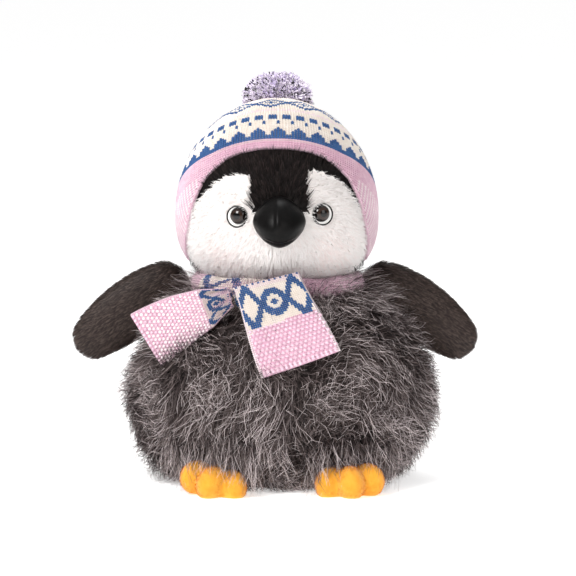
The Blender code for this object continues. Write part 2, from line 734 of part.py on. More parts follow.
def pivot(name, location, moving, parent=None):
    """An empty on a joint's axis, with the pieces that move about it as its children."""
    empty = bpy.data.objects.new(name, None)
    empty.empty_display_size = 10 * MM
    empty.location = location
    PENGUIN.objects.link(empty)
    bpy.context.view_layer.update()
    if parent:
        attach(empty, parent)
    for piece in moving:
        attach(bpy.data.objects[piece], empty)
    return empty


def attach(child, parent):
    """Parents without moving the child."""
    placed = child.matrix_world.copy()
    child.parent = parent
    child.matrix_parent_inverse = parent.matrix_world.inverted()
    child.matrix_world = placed
    bpy.context.view_layer.update()


def join_up():
    in_pairs = "eye", "eye_white", "eye_washer"
    head_pieces = ["face_left", "face_right", "head_crown", "head_back", "head_stuffing"]
    head_pieces += ["beak_upper", "beak_lower", "beak_stuffing"]
    head_pieces += [f"{piece}_{side}" for piece in in_pairs for side in SIDES]
    head = pivot("neck_pivot", (HEAD_CENTRE.x, 0, NECK_Z), head_pieces)
    hat_pieces = ["hat_crown", "hat_band", "hat_earflap_left", "hat_earflap_right", "pompom_knot"]
    hat = pivot("hat_seat", HEAD_CENTRE, hat_pieces, head)
    pivot("pompom_pivot", pompom_seat()[0], ["pompom"], hat)
    pivot("scarf_front_pivot", FRONT_TAIL_TOP, ["scarf_tail_front"])
    pivot("scarf_side_pivot", SIDE_TAIL_ROOT, ["scarf_tail_side"])
    for side, sign in SIDES.items():
        wing = [f"wing_{side}_{piece}" for piece in ("front", "back", "stuffing")]
        shoulder = (WINGS_MIDDLE_X + sign * WING_ROOT[0], WING_Y, WING_ROOT[1])
        pivot(f"shoulder_{side}_pivot", shoulder, wing)
        foot = [f"foot_{side}_{piece}" for piece in ("upper", "sole", "stuffing")]
        ankle = (sign * FOOT_OUT[side], ANKLE_Y, ANKLE_Z)
        pivot(f"ankle_{side}_pivot", ankle, foot)


make_body()
make_head()
for each_side in SIDES:
    make_eye(each_side)
make_beak()
make_hat()
make_pompom()
make_scarf()
for each_side in SIDES:
    make_wing(each_side)
    make_foot(each_side)
bpy.context.view_layer.update()
join_up()
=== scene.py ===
"""Looks, light and camera for the plush penguin. Metres, +Z up, the face looks along -Y.

Fur is real strands, grown on smooth skins that stand for the fabric panels. Knit is real stitches,
laid on thin shells in rows and columns. Each strand's UV holds its shade (u) and how far along the
strand a point is (v); each stitch's UV holds its column and row.
"""
import math

import bmesh
import bpy
import numpy as np
from mathutils import Matrix, Vector, kdtree


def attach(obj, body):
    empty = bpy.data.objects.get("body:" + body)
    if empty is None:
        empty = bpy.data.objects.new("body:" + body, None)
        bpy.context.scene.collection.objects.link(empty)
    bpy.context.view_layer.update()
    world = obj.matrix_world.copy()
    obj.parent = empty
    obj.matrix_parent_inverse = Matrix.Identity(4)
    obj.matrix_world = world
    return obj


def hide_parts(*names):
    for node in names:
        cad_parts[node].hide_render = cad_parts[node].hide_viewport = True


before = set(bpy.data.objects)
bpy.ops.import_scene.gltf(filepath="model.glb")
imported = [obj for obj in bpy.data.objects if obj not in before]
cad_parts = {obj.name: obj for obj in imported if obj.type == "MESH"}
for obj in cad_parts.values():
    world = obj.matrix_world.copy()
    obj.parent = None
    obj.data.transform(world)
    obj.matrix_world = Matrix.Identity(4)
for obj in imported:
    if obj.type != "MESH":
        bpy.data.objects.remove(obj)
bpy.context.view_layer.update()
MM = 0.001
UV_NAME = "OFBake"

# The toy's forms, the same as in part.py
BODY_CENTRE = np.array([0, 0, 56]) * MM
BODY_HALF = np.array([104, 93]) * MM
BODY_UP, BODY_DOWN = 91 * MM, 72 * MM
BODY_FLOOR, NECK_Z = 3.3 * MM, 145 * MM
HEAD_CENTRE = np.array([-3, 0, 192]) * MM
HEAD_HALF = np.array([69.5, 62]) * MM
HEAD_UP, HEAD_DOWN = 80 * MM, 50.5 * MM
CHEEK_FULLNESS = 2.6
WINGS_MIDDLE_X, WING_Y = -4.5 * MM, 18 * MM
WING_ROOT, WING_TIP = (83 * MM, 131.5 * MM), (127 * MM, 103 * MM)
WING_ROOT_RADIUS, WING_TIP_RADIUS = 23 * MM, 18 * MM
WING_FLATNESS = 0.42
EYE_SPACING, FEATURES_X = 60.5 * MM, -0.8 * MM
EYE_Z = {"left": 197 * MM, "right": 195.6 * MM}
BEAK_CENTRE = np.array([-1.2, -68, 193]) * MM
TAIL_LENGTH = 70 * MM
WRAP_HALF = np.array([54.5, 49.5]) * MM
WRAP_Z, WRAP_RADIUS = 141.5 * MM, 8.1 * MM
SIDES = {"left": 1, "right": -1}
DOWN = np.array([0, 0, -1.0])
SHELL_MERGE = 0.01 * MM           # points of a shell nearer than this are one point


# ---------------------------------------------------------------- arrays

def unit(v):
    return v / np.maximum(np.linalg.norm(v, axis=-1, keepdims=True), 1e-12)


def column(values):
    return np.asarray(values)[:, None]


def smooth(t):
    t = np.clip(t, 0, 1)
    return t * t * (3 - 2 * t)


def point_normals(points, faces):
    """The direction square to the surface at each point of a triangle mesh."""
    a, b, c = (points[faces[:, i]] for i in range(3))
    across = np.cross(b - a, c - a)
    total = np.zeros_like(points)
    for i in range(3):
        np.add.at(total, faces[:, i], across)
    return unit(total)


def scatter(points, faces, count, rng, keep=None):
    """(roots, normals) of evenly spread random points on a triangle mesh, those that keep says."""
    a, b, c = (points[faces[:, i]] for i in range(3))
    areas = np.linalg.norm(np.cross(b - a, c - a), axis=1)
    chosen = rng.choice(len(faces), count, p=areas / areas.sum())
    u, v = rng.random(count), rng.random(count)
    flip = u + v > 1
    u[flip], v[flip] = 1 - u[flip], 1 - v[flip]
    weights = np.stack([1 - u - v, u, v], axis=1)[..., None]
    normals = point_normals(points, faces)
    roots = (points[faces[chosen]] * weights).sum(axis=1)
    squares = unit((normals[faces[chosen]] * weights).sum(axis=1))
    if keep is not None:
        kept = keep(roots)
        roots, squares = roots[kept], squares[kept]
    return roots, squares


# ---------------------------------------------------------------- materials

def shader(name, colour, roughness=0.8, **values):
    """A Principled material. values are its other sockets, with _ for a space."""
    made = bpy.data.materials.new(name)
    made.use_nodes = True
    principled = made.node_tree.nodes["Principled BSDF"]
    principled.inputs["Base Color"].default_value = (*colour, 1)
    principled.inputs["Roughness"].default_value = roughness
    for key, value in values.items():
        principled.inputs[key.replace("_", " ")].default_value = value
    return made, made.node_tree.nodes, made.node_tree.links, principled


def ramp(nodes, stops):
    made = nodes.new("ShaderNodeValToRGB")
    elements = made.color_ramp.elements
    while len(elements) < len(stops):
        elements.new(0.5)
    for element, (position, colour) in zip(elements, stops):
        element.position = position
        element.color = (*colour, 1)
    return made


def grey(value):
    return (value, value, value)


def strand_material(name, darker, lighter, light_share, roughness=0.7, **values):
    """darker and lighter are root-to-tip colour stops; light_share of the strands are the lighter ones."""
    made, nodes, links, principled = shader(name, darker[0][1], roughness, **values)
    place = nodes.new("ShaderNodeUVMap")
    place.uv_map = UV_NAME
    parts = nodes.new("ShaderNodeSeparateXYZ")
    links.new(place.outputs["UV"], parts.inputs["Vector"])
    dark, light = ramp(nodes, darker), ramp(nodes, lighter)
    lightest_from = min(0.999, 1.12 - light_share)
    share = ramp(nodes, [(0, grey(0)), (1 - light_share, grey(0.12)), (lightest_from, grey(1))])
    links.new(parts.outputs["Y"], dark.inputs["Fac"])
    links.new(parts.outputs["Y"], light.inputs["Fac"])
    links.new(parts.outputs["X"], share.inputs["Fac"])
    mix = nodes.new("ShaderNodeMix")
    mix.data_type = "RGBA"
    links.new(share.outputs["Color"], mix.inputs["Factor"])
    links.new(dark.outputs["Color"], mix.inputs["A"])
    links.new(light.outputs["Color"], mix.inputs["B"])
    links.new(mix.outputs["Result"], principled.inputs["Base Color"])
    return made


def mottled_material(name, dark, light, scale, roughness=0.8, bump=0.0, bump_scale=900, **values):
    """Cloth or felt: two close colours mixed by fine noise, with a bump of its own."""
    made, nodes, links, principled = shader(name, light, roughness, **values)
    place = nodes.new("ShaderNodeTexCoord")
    noise = nodes.new("ShaderNodeTexNoise")
    noise.inputs["Scale"].default_value = scale
    noise.inputs["Detail"].default_value = 4
    colours = ramp(nodes, [(0.3, dark), (0.7, light)])
    links.new(place.outputs["Object"], noise.inputs["Vector"])
    links.new(noise.outputs["Fac"], colours.inputs["Fac"])
    links.new(colours.outputs["Color"], principled.inputs["Base Color"])
    if bump:
        grain = nodes.new("ShaderNodeTexNoise")
        grain.inputs["Scale"].default_value = bump_scale
        grain.inputs["Detail"].default_value = 3
        raised = nodes.new("ShaderNodeBump")
        raised.inputs["Strength"].default_value = bump
        raised.inputs["Distance"].default_value = 0.3 * MM
        links.new(place.outputs["Object"], grain.inputs["Vector"])
        links.new(grain.outputs["Fac"], raised.inputs["Height"])
        links.new(raised.outputs["Normal"], principled.inputs["Normal"])
    return made


YARN = {
    "cream": ((0.88, 0.80, 0.72), (0.96, 0.91, 0.86)),
    "blue": ((0.018, 0.075, 0.23), (0.04, 0.13, 0.33)),
    "pink": ((0.75, 0.48, 0.61), (0.87, 0.65, 0.74)),
    "rose": ((0.72, 0.47, 0.58), (0.84, 0.62, 0.71)),
    "pale_pink": ((0.88, 0.72, 0.77), (0.95, 0.85, 0.87)),
    "lilac": ((0.56, 0.50, 0.68), (0.74, 0.68, 0.82)),
}
YARN_NAMES = list(YARN)
YARN_MATERIALS = {
    name: mottled_material("yarn_" + name, dark, light, 260, 0.85, Sheen_Weight=0.12, Sheen_Roughness=0.5)
    for name, (dark, light) in YARN.items()
}
DARK_CLOTH = mottled_material("dark_cloth", (0.02, 0.015, 0.014), (0.045, 0.035, 0.033), 300, 0.95)
BLACK_CLOTH = mottled_material("black_cloth", (0.006, 0.004, 0.004), (0.014, 0.01, 0.009), 300, 0.95)
WHITE_CLOTH = mottled_material("white_cloth", (0.90, 0.85, 0.83), (0.95, 0.91, 0.89), 200, 0.9)
BASE_CLOTH = mottled_material("base_cloth", (0.03, 0.022, 0.02), (0.06, 0.045, 0.04), 500, 0.9, bump=0.6)
# Grounds under the stitches: cream and pink yarn darkened, as painted shade in the gaps between stitches.
CREAM_SHADED_GROUND = mottled_material("cream_ground_painted_shade", (0.72, 0.65, 0.60), (0.82, 0.75, 0.70), 300, 0.9)
PINK_SHADED_GROUND = mottled_material("pink_ground_painted_shade", (0.58, 0.32, 0.43), (0.70, 0.44, 0.55), 300, 0.9)
BEAK_FELT = mottled_material(
    "beak_felt", (0.002, 0.002, 0.002), (0.005, 0.0045, 0.0045), 260, 0.36, bump=0.2, bump_scale=1500,
    Specular_IOR_Level=0.10,
)
ORANGE_FELT = mottled_material(
    "orange_felt", (0.86, 0.39, 0.022), (0.90, 0.45, 0.040), 200, 0.85, bump=0.5, bump_scale=1200,
    Sheen_Weight=0.3, Sheen_Roughness=0.5,
)
BODY_FUR = strand_material(
    "body_fur",
    [(0, (0.014, 0.009, 0.009)), (0.55, (0.038, 0.027, 0.026)), (1, (0.11, 0.080, 0.076))],
    [(0, (0.025, 0.018, 0.018)), (0.4, (0.17, 0.132, 0.130)), (1, (0.88, 0.78, 0.78))],
    0.42, 0.6, Specular_IOR_Level=0.25,
)
# Undercoat strands are darker than the pile's: the fur's own dark roots, deepened with painted shade deep in
# the pile.
BODY_UNDER_FUR_SHADED = strand_material(
    "body_under_fur_painted_shade",
    [(0, (0.010, 0.007, 0.007)), (0.55, (0.028, 0.020, 0.019)), (1, (0.065, 0.048, 0.046))],
    [(0, (0.018, 0.013, 0.013)), (0.4, (0.07, 0.053, 0.051)), (1, (0.24, 0.195, 0.19))],
    0.35, 0.65, Specular_IOR_Level=0.2,
)
WING_FUR = strand_material(
    "wing_fur",
    [(0, (0.006, 0.004, 0.0035)), (0.6, (0.018, 0.011, 0.009)), (1, (0.040, 0.026, 0.022))],
    [(0, (0.015, 0.010, 0.008)), (0.6, (0.055, 0.037, 0.031)), (1, (0.14, 0.10, 0.088))],
    0.40, 0.55, Specular_IOR_Level=0.3,
)
CROWN_FUR = strand_material(
    "crown_fur",
    [(0, (0.002, 0.0015, 0.0015)), (0.6, (0.006, 0.004, 0.004)), (1, (0.014, 0.009, 0.009))],
    [(0, (0.005, 0.003, 0.003)), (0.6, (0.014, 0.009, 0.008)), (1, (0.075, 0.051, 0.047))],
    0.22, 0.6, Specular_IOR_Level=0.12,
)
FACE_FUR = strand_material(
    "face_fur",
    [(0, (0.88, 0.83, 0.81)), (1, (0.96, 0.93, 0.915))],
    [(0, (0.90, 0.86, 0.84)), (1, (0.985, 0.965, 0.955))],
    0.5, 0.85, Sheen_Weight=0.15,
)
BLUSH_FUR = strand_material(
    "blush_fur",
    [(0, (0.88, 0.78, 0.76)), (1, (0.96, 0.84, 0.82))],
    [(0, (0.90, 0.81, 0.79)), (1, (0.98, 0.88, 0.86))],
    0.5, 0.85, Sheen_Weight=0.15,
)
FOOT_FUR = strand_material(
    "foot_fur",
    [(0, (0.86, 0.40, 0.025)), (1, (0.89, 0.44, 0.035))],
    [(0, (0.88, 0.43, 0.030)), (1, (0.93, 0.50, 0.055))],
    0.5, 0.85,
)
SCARF_FUZZ = strand_material(
    "scarf_fuzz", [(0, (0.74, 0.50, 0.62)), (1, (0.84, 0.66, 0.75))],
    [(0, (0.82, 0.64, 0.72)), (1, (0.92, 0.82, 0.86))], 0.5, 0.85,
)
POMPOM_YARN = strand_material(
    "pompom_yarn",
    [(0, (0.62, 0.55, 0.76)), (0.6, (0.66, 0.58, 0.81)), (1, (0.62, 0.54, 0.78))],
    [(0, (0.82, 0.73, 0.91)), (0.6, (0.89, 0.80, 0.96)), (1, (0.94, 0.88, 0.98))],
    0.8, 0.9, Sheen_Weight=0.5, Sheen_Roughness=0.6,
)


# ---------------------------------------------------------------- pieces

def new_piece(name, points, faces, materials, uv=None, slots=None, normals=None):
    """A mesh from arrays. uv and normals have one row for each point, slots one for each face."""
    mesh = bpy.data.meshes.new(name)
    count, corners = faces.shape
    mesh.vertices.add(len(points))
    mesh.vertices.foreach_set("co", points.astype(np.float32).ravel())
    mesh.loops.add(count * corners)
    mesh.loops.foreach_set("vertex_index", faces.astype(np.int32).ravel())
    mesh.polygons.add(count)
    mesh.polygons.foreach_set("loop_start", np.arange(0, count * corners, corners, dtype=np.int32))
    for material in materials:
        mesh.materials.append(material)
    if slots is not None:
        mesh.polygons.foreach_set("material_index", slots.astype(np.int32))
    mesh.update(calc_edges=True)
    if uv is not None:
        layer = mesh.uv_layers.new(name=UV_NAME)
        layer.uv.foreach_set("vector", uv[faces.ravel()].astype(np.float32).ravel())
    mesh.shade_smooth()
    if normals is not None:
        mesh.normals_split_custom_set_from_vertices(normals.astype(np.float32))
    made = bpy.data.objects.new(name, mesh)
    bpy.context.scene.collection.objects.link(made)
    return made


def on_body(piece, body, replaces=()):
    """The piece rides on the body, and stands for those CAD nodes."""
    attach(piece, body)
    if replaces:
        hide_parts(*replaces)
    return piece


def ring_quads(index):
    """Quads between the rows of a grid of point numbers, each row a closed ring."""
    after = np.roll(index, -1, axis=1)
    return np.stack([index[:-1], index[1:], after[1:], after[:-1]], axis=2).reshape(-1, 4)


def ball_directions(detail):
    """(unit directions, triangles) of a finely divided ball."""
    shape = bmesh.new()
    bmesh.ops.create_icosphere(shape, subdivisions=detail, radius=1)
    directions = np.array([v.co for v in shape.verts], float)
    faces = np.array([[v.index for v in f.verts] for f in shape.faces], int)
    shape.free()
    return unit(directions), faces


BALL_5 = ball_directions(5)


def egg_radius(d, lower_power=2.0):
    """How wide an egg is, as a share of its half width, at the height of each direction."""
    below = np.clip(-d[:, 2], 0, 1)
    above = np.clip(d[:, 2], 0, 1)
    lower = (1 - below**lower_power) ** (1 / lower_power)
    return np.where(d[:, 2] > 0, np.sqrt(1 - above**2), lower)


def egg_place(d, half, up, down, centre, out, lower_power=2.0):
    flat = unit(d[:, :2] + 1e-12) * column(egg_radius(d, lower_power)) * (half + out)
    tall = d[:, 2] * np.where(d[:, 2] > 0, up + out, down + out)
    return np.column_stack([flat, tall]) + centre


def body_place(d, out=0.0):
    placed = egg_place(d, BODY_HALF, BODY_UP, BODY_DOWN, BODY_CENTRE, out)
    lumps = np.sin(placed[:, 0] * 61 + 1) * np.sin(placed[:, 2] * 73) * np.cos(placed[:, 1] * 57 + 2)
    placed += d * column(lumps) * 1.6 * MM
    placed[:, 2] = np.clip(placed[:, 2], BODY_FLOOR, NECK_Z + 4 * MM)
    return placed


def head_place(d, out=0.0):
    return egg_place(d, HEAD_HALF, HEAD_UP, HEAD_DOWN, HEAD_CENTRE, out, CHEEK_FULLNESS)


def wing_axis(sign):
    root = np.array([WINGS_MIDDLE_X + sign * WING_ROOT[0], WING_Y, WING_ROOT[1]])
    tip = np.array([WINGS_MIDDLE_X + sign * WING_TIP[0], WING_Y, WING_TIP[1]])
    return root, tip


def wing_place(d, sign, out=0.0):
    """A flipper: a flattened ball drawn out from the root to the smaller, blunter tip."""
    root, tip = wing_axis(sign)
    along = unit(tip - root)
    share = column(smooth((d @ along) * 0.62 + 0.5))
    middle = root + (tip - root) * share
    middle[:, 2] += 3 * MM * np.sin(math.pi * share[:, 0])
    radius = WING_ROOT_RADIUS + (WING_TIP_RADIUS - WING_ROOT_RADIUS) * share + out
    return middle + d * radius * np.array([1, WING_FLATNESS, 1])


def outward_share(points, quads, normals):
    """How far each quad's own direction agrees with its points' normals."""
    across = np.cross(points[quads[:, 2]] - points[quads[:, 0]], points[quads[:, 3]] - points[quads[:, 1]])
    return (across * normals[quads[:, 0]]).sum(axis=1)


STRAND_FLOOR = 0.4 * MM           # no strand goes lower than this


def strands(roots, normals, leads, lengths, widths, rng, segments=3, bend=None, curl=0.0, turns=1.0,
            clump=0.0, leaders=0, taper=0.8, softness=0.5, loose=0.5, limit=None):
    """(points, quads, uv, normals) of ribbons. leads are the directions in which they leave the skin,
    bend is added along the strand as it gets longer, and clump pulls it towards the nearest leader."""
    count, rings = len(roots), segments + 1
    t = np.linspace(0, 1, rings)[None, :, None]
    size = lengths[:, None, None]
    line = roots[:, None] + leads[:, None] * size * t
    if bend is not None:
        line = line + bend[:, None] * size * t**2
    if curl:
        one = unit(np.cross(leads, rng.normal(size=(count, 3))))
        two = np.cross(leads, one)
        phase = (2 * math.pi * (turns * t[..., 0] + rng.random((count, 1))))[..., None]
        line = line + (np.sin(phase) * one[:, None] + np.cos(phase) * two[:, None]) * curl * size * t
    if clump and leaders:
        chosen = rng.choice(count, leaders, replace=False)
        tree = kdtree.KDTree(leaders)
        for i, place in enumerate(roots[chosen]):
            tree.insert(place, i)
        tree.balance()
        nearest = chosen[[tree.find(place)[1] for place in roots]]
        line = line + (line[nearest] - line) * clump * t**1.3
    if limit:
        line = limit(line.reshape(-1, 3)).reshape(line.shape)
    line[..., 2] = np.maximum(line[..., 2], STRAND_FLOOR)
    along = unit(np.gradient(line, axis=1) + 1e-9)
    facing = unit(normals + loose * rng.normal(size=(count, 3)))
    side = unit(np.cross(along, facing[:, None]))
    half = (widths / 2)[:, None, None] * (1 - taper * t**1.6)
    points = np.stack([line - side * half, line + side * half], axis=2).reshape(-1, 3)
    square = np.cross(side, along)
    square *= np.where((square * normals[:, None]).sum(-1, keepdims=True) < 0, -1, 1)
    soft = unit(square * (1 - softness) + normals[:, None] * softness)
    soft = np.repeat(soft, 2, axis=1).reshape(-1, 3)
    shade = 0.01 + 0.98 * rng.random(count)
    uv = np.empty((count, rings, 2, 2))
    uv[..., 0] = shade[:, None, None] + np.array([-0.004, 0.004])
    uv[..., 1] = 0.01 + 0.98 * t
    first = (np.arange(count) * rings * 2)[:, None] + np.arange(segments) * 2
    quads = np.stack([first, first + 1, first + 3, first + 2], axis=2).reshape(-1, 4)
    turned_in = outward_share(points, quads, soft) < 0
    quads[turned_in] = quads[turned_in][:, ::-1]
    return points, quads, uv.reshape(-1, 2), soft


def fur_piece(name, body, material, made):
    points, quads, uv, normals = made
    piece = new_piece(name, points, quads, [material], uv=uv, normals=normals)
    return on_body(piece, body)


def grow(name, body, slot, material, skin, leads, lengths, widths, rng, segments, **shape):
    """Fur on skin's (roots, normals). lengths and widths are (least, most) in millimetres."""
    roots, normals = skin
    long = rng.uniform(*lengths, len(roots)) * MM
    wide = rng.uniform(*widths, len(roots)) * MM
    made = strands(roots, normals, leads, long, wide, rng, segments, **shape)
    return fur_piece(name, body, material, made)


def comb(normals, towards):
    """The part of a direction that lies along the skin."""
    towards = np.broadcast_to(towards, normals.shape)
    return unit(towards - normals * (towards * normals).sum(-1, keepdims=True))


def messy_comb(normals, rng):
    """A random direction along the skin at each root."""
    return comb(normals, rng.normal(size=normals.shape))


def inside_wing(points, sign, out):
    """Whether each point is within the wing, made thicker all round by out."""
    root, tip = wing_axis(sign)
    along = tip - root
    share = np.clip(((points - root) @ along) / (along @ along), 0, 1)
    near = root + along * share[:, None]
    radius = WING_ROOT_RADIUS + (WING_TIP_RADIUS - WING_ROOT_RADIUS) * share + out
    away = (points - near) / np.array([1, WING_FLATNESS, 1])
    return np.linalg.norm(away, axis=1) < radius


# ---------------------------------------------------------------- body

PILE_TOP, COLLAR_BOTTOM = 142 * MM, 124 * MM
FEET_OUT, FEET_HALF_WIDTH = 47 * MM, 30 * MM


def make_body():
    """The long pile: an undercoat darkened with painted shade, the pale-tipped pile, and longer tufts over
    the feet and at the neck.
    """
    rng = np.random.default_rng(11)
    directions, faces = BALL_5
    points = body_place(directions)
    waves = rng.normal(size=(3, 6, 3)) * 62
    phases = rng.uniform(0, 2 * math.pi, (3, 6))
    skin = new_piece("body_skin", points, faces, [DARK_CLOTH])
    on_body(skin, "body", ["body_front", "body_back", "body_stuffing", "pellet_bag"])

    def whorl(roots, normals):
        """A direction along the skin that turns slowly from place to place."""
        field = [np.sin(roots @ waves[i].T + phases[i]).sum(axis=1) for i in range(3)]
        return comb(normals, np.stack(field, axis=1))

    def furry(roots):
        under_wing = inside_wing(roots, 1, -4 * MM) | inside_wing(roots, -1, -4 * MM)
        return (roots[:, 2] > BODY_FLOOR + 0.5 * MM) & (roots[:, 2] < PILE_TOP) & ~under_wing

    def over_feet(roots):
        at_feet = np.abs(np.abs(roots[:, 0]) - FEET_OUT) < FEET_HALF_WIDTH
        return at_feet & (roots[:, 1] < -45 * MM) & (roots[:, 2] > 22 * MM) & (roots[:, 2] < 44 * MM)

    def at_neck(roots):
        return furry(roots) & (roots[:, 2] > COLLAR_BOTTOM)

    def on_belly(roots):
        """From 0 on the back to 1 in front."""
        return column(smooth((-roots[:, 1] / MM + 20) / 70))

    # The undercoat: dark strands, partly painted shade deep in the pile.
    roots, normals = scatter(points, faces, 20000, rng, furry)
    down, messy, front = comb(normals, DOWN), messy_comb(normals, rng), on_belly(roots)
    leads = unit(normals * 0.55 + down * (0.75 - 0.45 * front) + messy * (0.25 + 0.55 * front))
    grow(
        "body_undercoat", "body", "long_pile_grey", BODY_UNDER_FUR_SHADED, (roots, normals), leads, (11, 17),
        (0.7, 1.1), rng, 3, bend=down * 0.25, curl=0.10, turns=1.0, clump=0.55, leaders=1500, softness=0.45,
    )

    roots, normals = scatter(points, faces, 27000, rng, furry)
    down, messy, front = comb(normals, DOWN), messy_comb(normals, rng), on_belly(roots)
    swirl = whorl(roots, normals)
    leads = unit(
        normals * (0.35 + 0.2 * front) + down * (0.85 - 0.7 * front) + swirl * (0.25 + 0.75 * front)
        + messy * (0.2 + 0.35 * front)
    )
    lengths = (rng.uniform(15, 25, len(roots)) + 9 * front[:, 0] * rng.random(len(roots)) ** 2) * MM
    widths = rng.uniform(0.32, 0.58, len(roots)) * MM
    bend = down * 0.15 + messy * 0.3
    for name, chosen in (("front", roots[:, 1] < 10 * MM), ("back", roots[:, 1] >= 10 * MM)):
        made = strands(
            roots[chosen], normals[chosen], leads[chosen], lengths[chosen], widths[chosen], rng, 4,
            bend=bend[chosen], curl=0.12, turns=1.4, clump=0.38, leaders=450, softness=0.4,
        )
        fur_piece("body_pile_" + name, "body", BODY_FUR, made)

    def forwards(roots, normals):
        return comb(normals, DOWN) * 0.6 + np.array([0, -1.2, 0.7])

    def outwards(roots, normals):
        return comb(normals, roots * np.array([1, 1, 0])) * 0.5

    tufts = (("fringe", 40000, over_feet, forwards, 40), ("collar", 20000, at_neck, outwards, 29))
    for name, tries, keep, flow, longest in tufts:
        roots, normals = scatter(points, faces, tries, rng, keep)
        leads = unit(normals + flow(roots, normals) + messy_comb(normals, rng) * 0.4)
        grow(
            "body_" + name, "body", "long_pile_grey", BODY_FUR, (roots, normals), leads,
            (longest * 0.65, longest), (0.35, 0.6), rng, 4, bend=comb(normals, DOWN) * 0.55, curl=0.12,
            turns=1.3, clump=0.4, leaders=90, softness=0.4,
        )

    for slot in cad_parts["base_panel"].material_slots:
        slot.material = BASE_CLOTH


# ---------------------------------------------------------------- head

FACE_EDGE_X = np.array([-67, -64.5, -61, -52, -39, -29, -20, 17, 24, 41, 53, 58, 62]) * MM
FACE_EDGE_Z = np.array([178, 190, 201, 213, 222.5, 225.5, 224.5, 225, 229, 220, 205, 194, 180]) * MM
BLAZE_X = (-21 * MM, 18.5 * MM)
BLAZE_BOTTOM = 199 * MM
FACE_SIDE_Y = -13 * MM
FACE_BOTTOM, CROWN_BOTTOM = 143.5 * MM, 144 * MM
UNDER_HAT = 0.93                  # as a share of the way from the hat's pole to its rim
CHEEKS = np.array([(-38, -46, 168), (36, -46, 168)]) * MM


def is_face(p):
    """Where the head is white: below the brow line, outside the blaze, and not past the cheeks."""
    edge = np.interp(p[:, 0], FACE_EDGE_X, FACE_EDGE_Z)
    blaze = (p[:, 0] > BLAZE_X[0]) & (p[:, 0] < BLAZE_X[1]) & (p[:, 2] > BLAZE_BOTTOM)
    return (p[:, 2] < edge) & ~blaze & (p[:, 1] < FACE_SIDE_Y)


def near_beak(p):
    away = (p - BEAK_CENTRE - np.array([0, 0, -1]) * MM) / (np.array([17, 30, 16.5]) * MM)
    return np.linalg.norm(away, axis=1) < 1


def near_eye(p, reach=7.4 * MM):
    found = np.zeros(len(p), bool)
    for side in SIDES:
        found |= np.linalg.norm(p - eye_point(side)[0], axis=1) < reach
    return found


def eye_point(side):
    """The point of the face where that eye sits, and the direction square to it."""
    x, z = FEATURES_X + SIDES[side] * EYE_SPACING / 2, EYE_Z[side]
    tall = HEAD_UP if z > HEAD_CENTRE[2] else HEAD_DOWN
    across = (x - HEAD_CENTRE[0]) / HEAD_HALF[0]
    above = (z - HEAD_CENTRE[2]) / tall
    ahead = -math.sqrt(max(0.0, 1 - across**2 - above**2))
    square = Vector((across / HEAD_HALF[0], ahead / HEAD_HALF[1], above / tall)).normalized()
    return np.array([x, ahead * HEAD_HALF[1], z]), square


def make_head():
    rng = np.random.default_rng(23)
    directions, faces = BALL_5
    points = head_place(directions, -0.4 * MM)
    white = is_face(points[faces].mean(axis=1)).astype(int)
    skin = new_piece("head_skin", points, faces, [BLACK_CLOTH, WHITE_CLOTH], slots=white)
    nodes = ["face_left", "face_right", "head_crown", "head_back", "head_stuffing"]
    on_body(skin, "head", nodes)

    def pale(p):
        return is_face(p) & ~near_beak(p) & ~near_eye(p) & (p[:, 2] > FACE_BOTTOM)

    def dark(p):
        clear = ~is_face(p) & ~near_beak(p) & ~near_eye(p, 9.5 * MM)
        return clear & (p[:, 2] > CROWN_BOTTOM) & (hat_share(p) > UNDER_HAT)

    def covered(p):
        return (p[:, 2] > CROWN_BOTTOM) & (hat_share(p) <= UNDER_HAT) & ~near_eye(p)

    roots, normals = scatter(points, faces, 76000, rng, pale)
    beak_away = comb(normals, roots - BEAK_CENTRE)
    down = comb(normals, DOWN)
    messy = messy_comb(normals, rng)
    leads = unit(normals * 0.85 + beak_away * 0.3 + down * 0.2 + messy * 0.4)
    at_chin = smooth((165 - roots[:, 2] / MM) / 15)
    lengths = (rng.uniform(3.2, 5.2, len(roots)) + 2.5 * at_chin) * MM
    widths = rng.uniform(0.30, 0.50, len(roots)) * MM
    from_blush = [np.linalg.norm(roots - cheek, axis=1) / (19 * MM) for cheek in CHEEKS]
    blush = rng.random(len(roots)) < 0.6 * np.exp(-(np.minimum(*from_blush) ** 2))
    bend = beak_away * 0.3 + down * 0.25
    for name, material, chosen in (("face_fur", FACE_FUR, ~blush), ("cheek_blush", BLUSH_FUR, blush)):
        made = strands(
            roots[chosen], normals[chosen], leads[chosen], lengths[chosen], widths[chosen], rng, 2,
            bend=bend[chosen], clump=0.15, leaders=400, softness=0.9, loose=0.25, limit=tuck_under_hat,
        )
        fur_piece(name, "head", material, made)

    roots, normals = scatter(points, faces, 48000, rng, dark)
    up_and_out = comb(normals, (roots - BEAK_CENTRE) * np.array([0.5, 0.2, 1]))
    front = column((roots[:, 1] < -8 * MM) & (roots[:, 2] > 175 * MM))
    flow = unit(np.where(front, up_and_out, comb(normals, DOWN)))
    leads = unit(normals * 0.6 + flow * 0.75 + messy_comb(normals, rng) * 0.25)
    grow(
        "crown_fur", "head", "black_plush", CROWN_FUR, (roots, normals), leads, (6, 9.5), (0.28, 0.5), rng, 3,
        bend=flow * 0.2, curl=0.04, clump=0.4, leaders=1500, softness=0.4, limit=tuck_under_hat,
    )

    # Flattened under the hat, and seen only when it's lifted off.
    roots, normals = scatter(points, faces, 14000, rng, covered)
    leads = unit(normals * 0.5 + comb(normals, DOWN))
    grow(
        "crown_fur_under_hat", "head", "black_plush", CROWN_FUR, (roots, normals), leads, (3.5, 5.5),
        (0.6, 0.9), rng, 2, softness=0.6, limit=tuck_under_hat,
    )


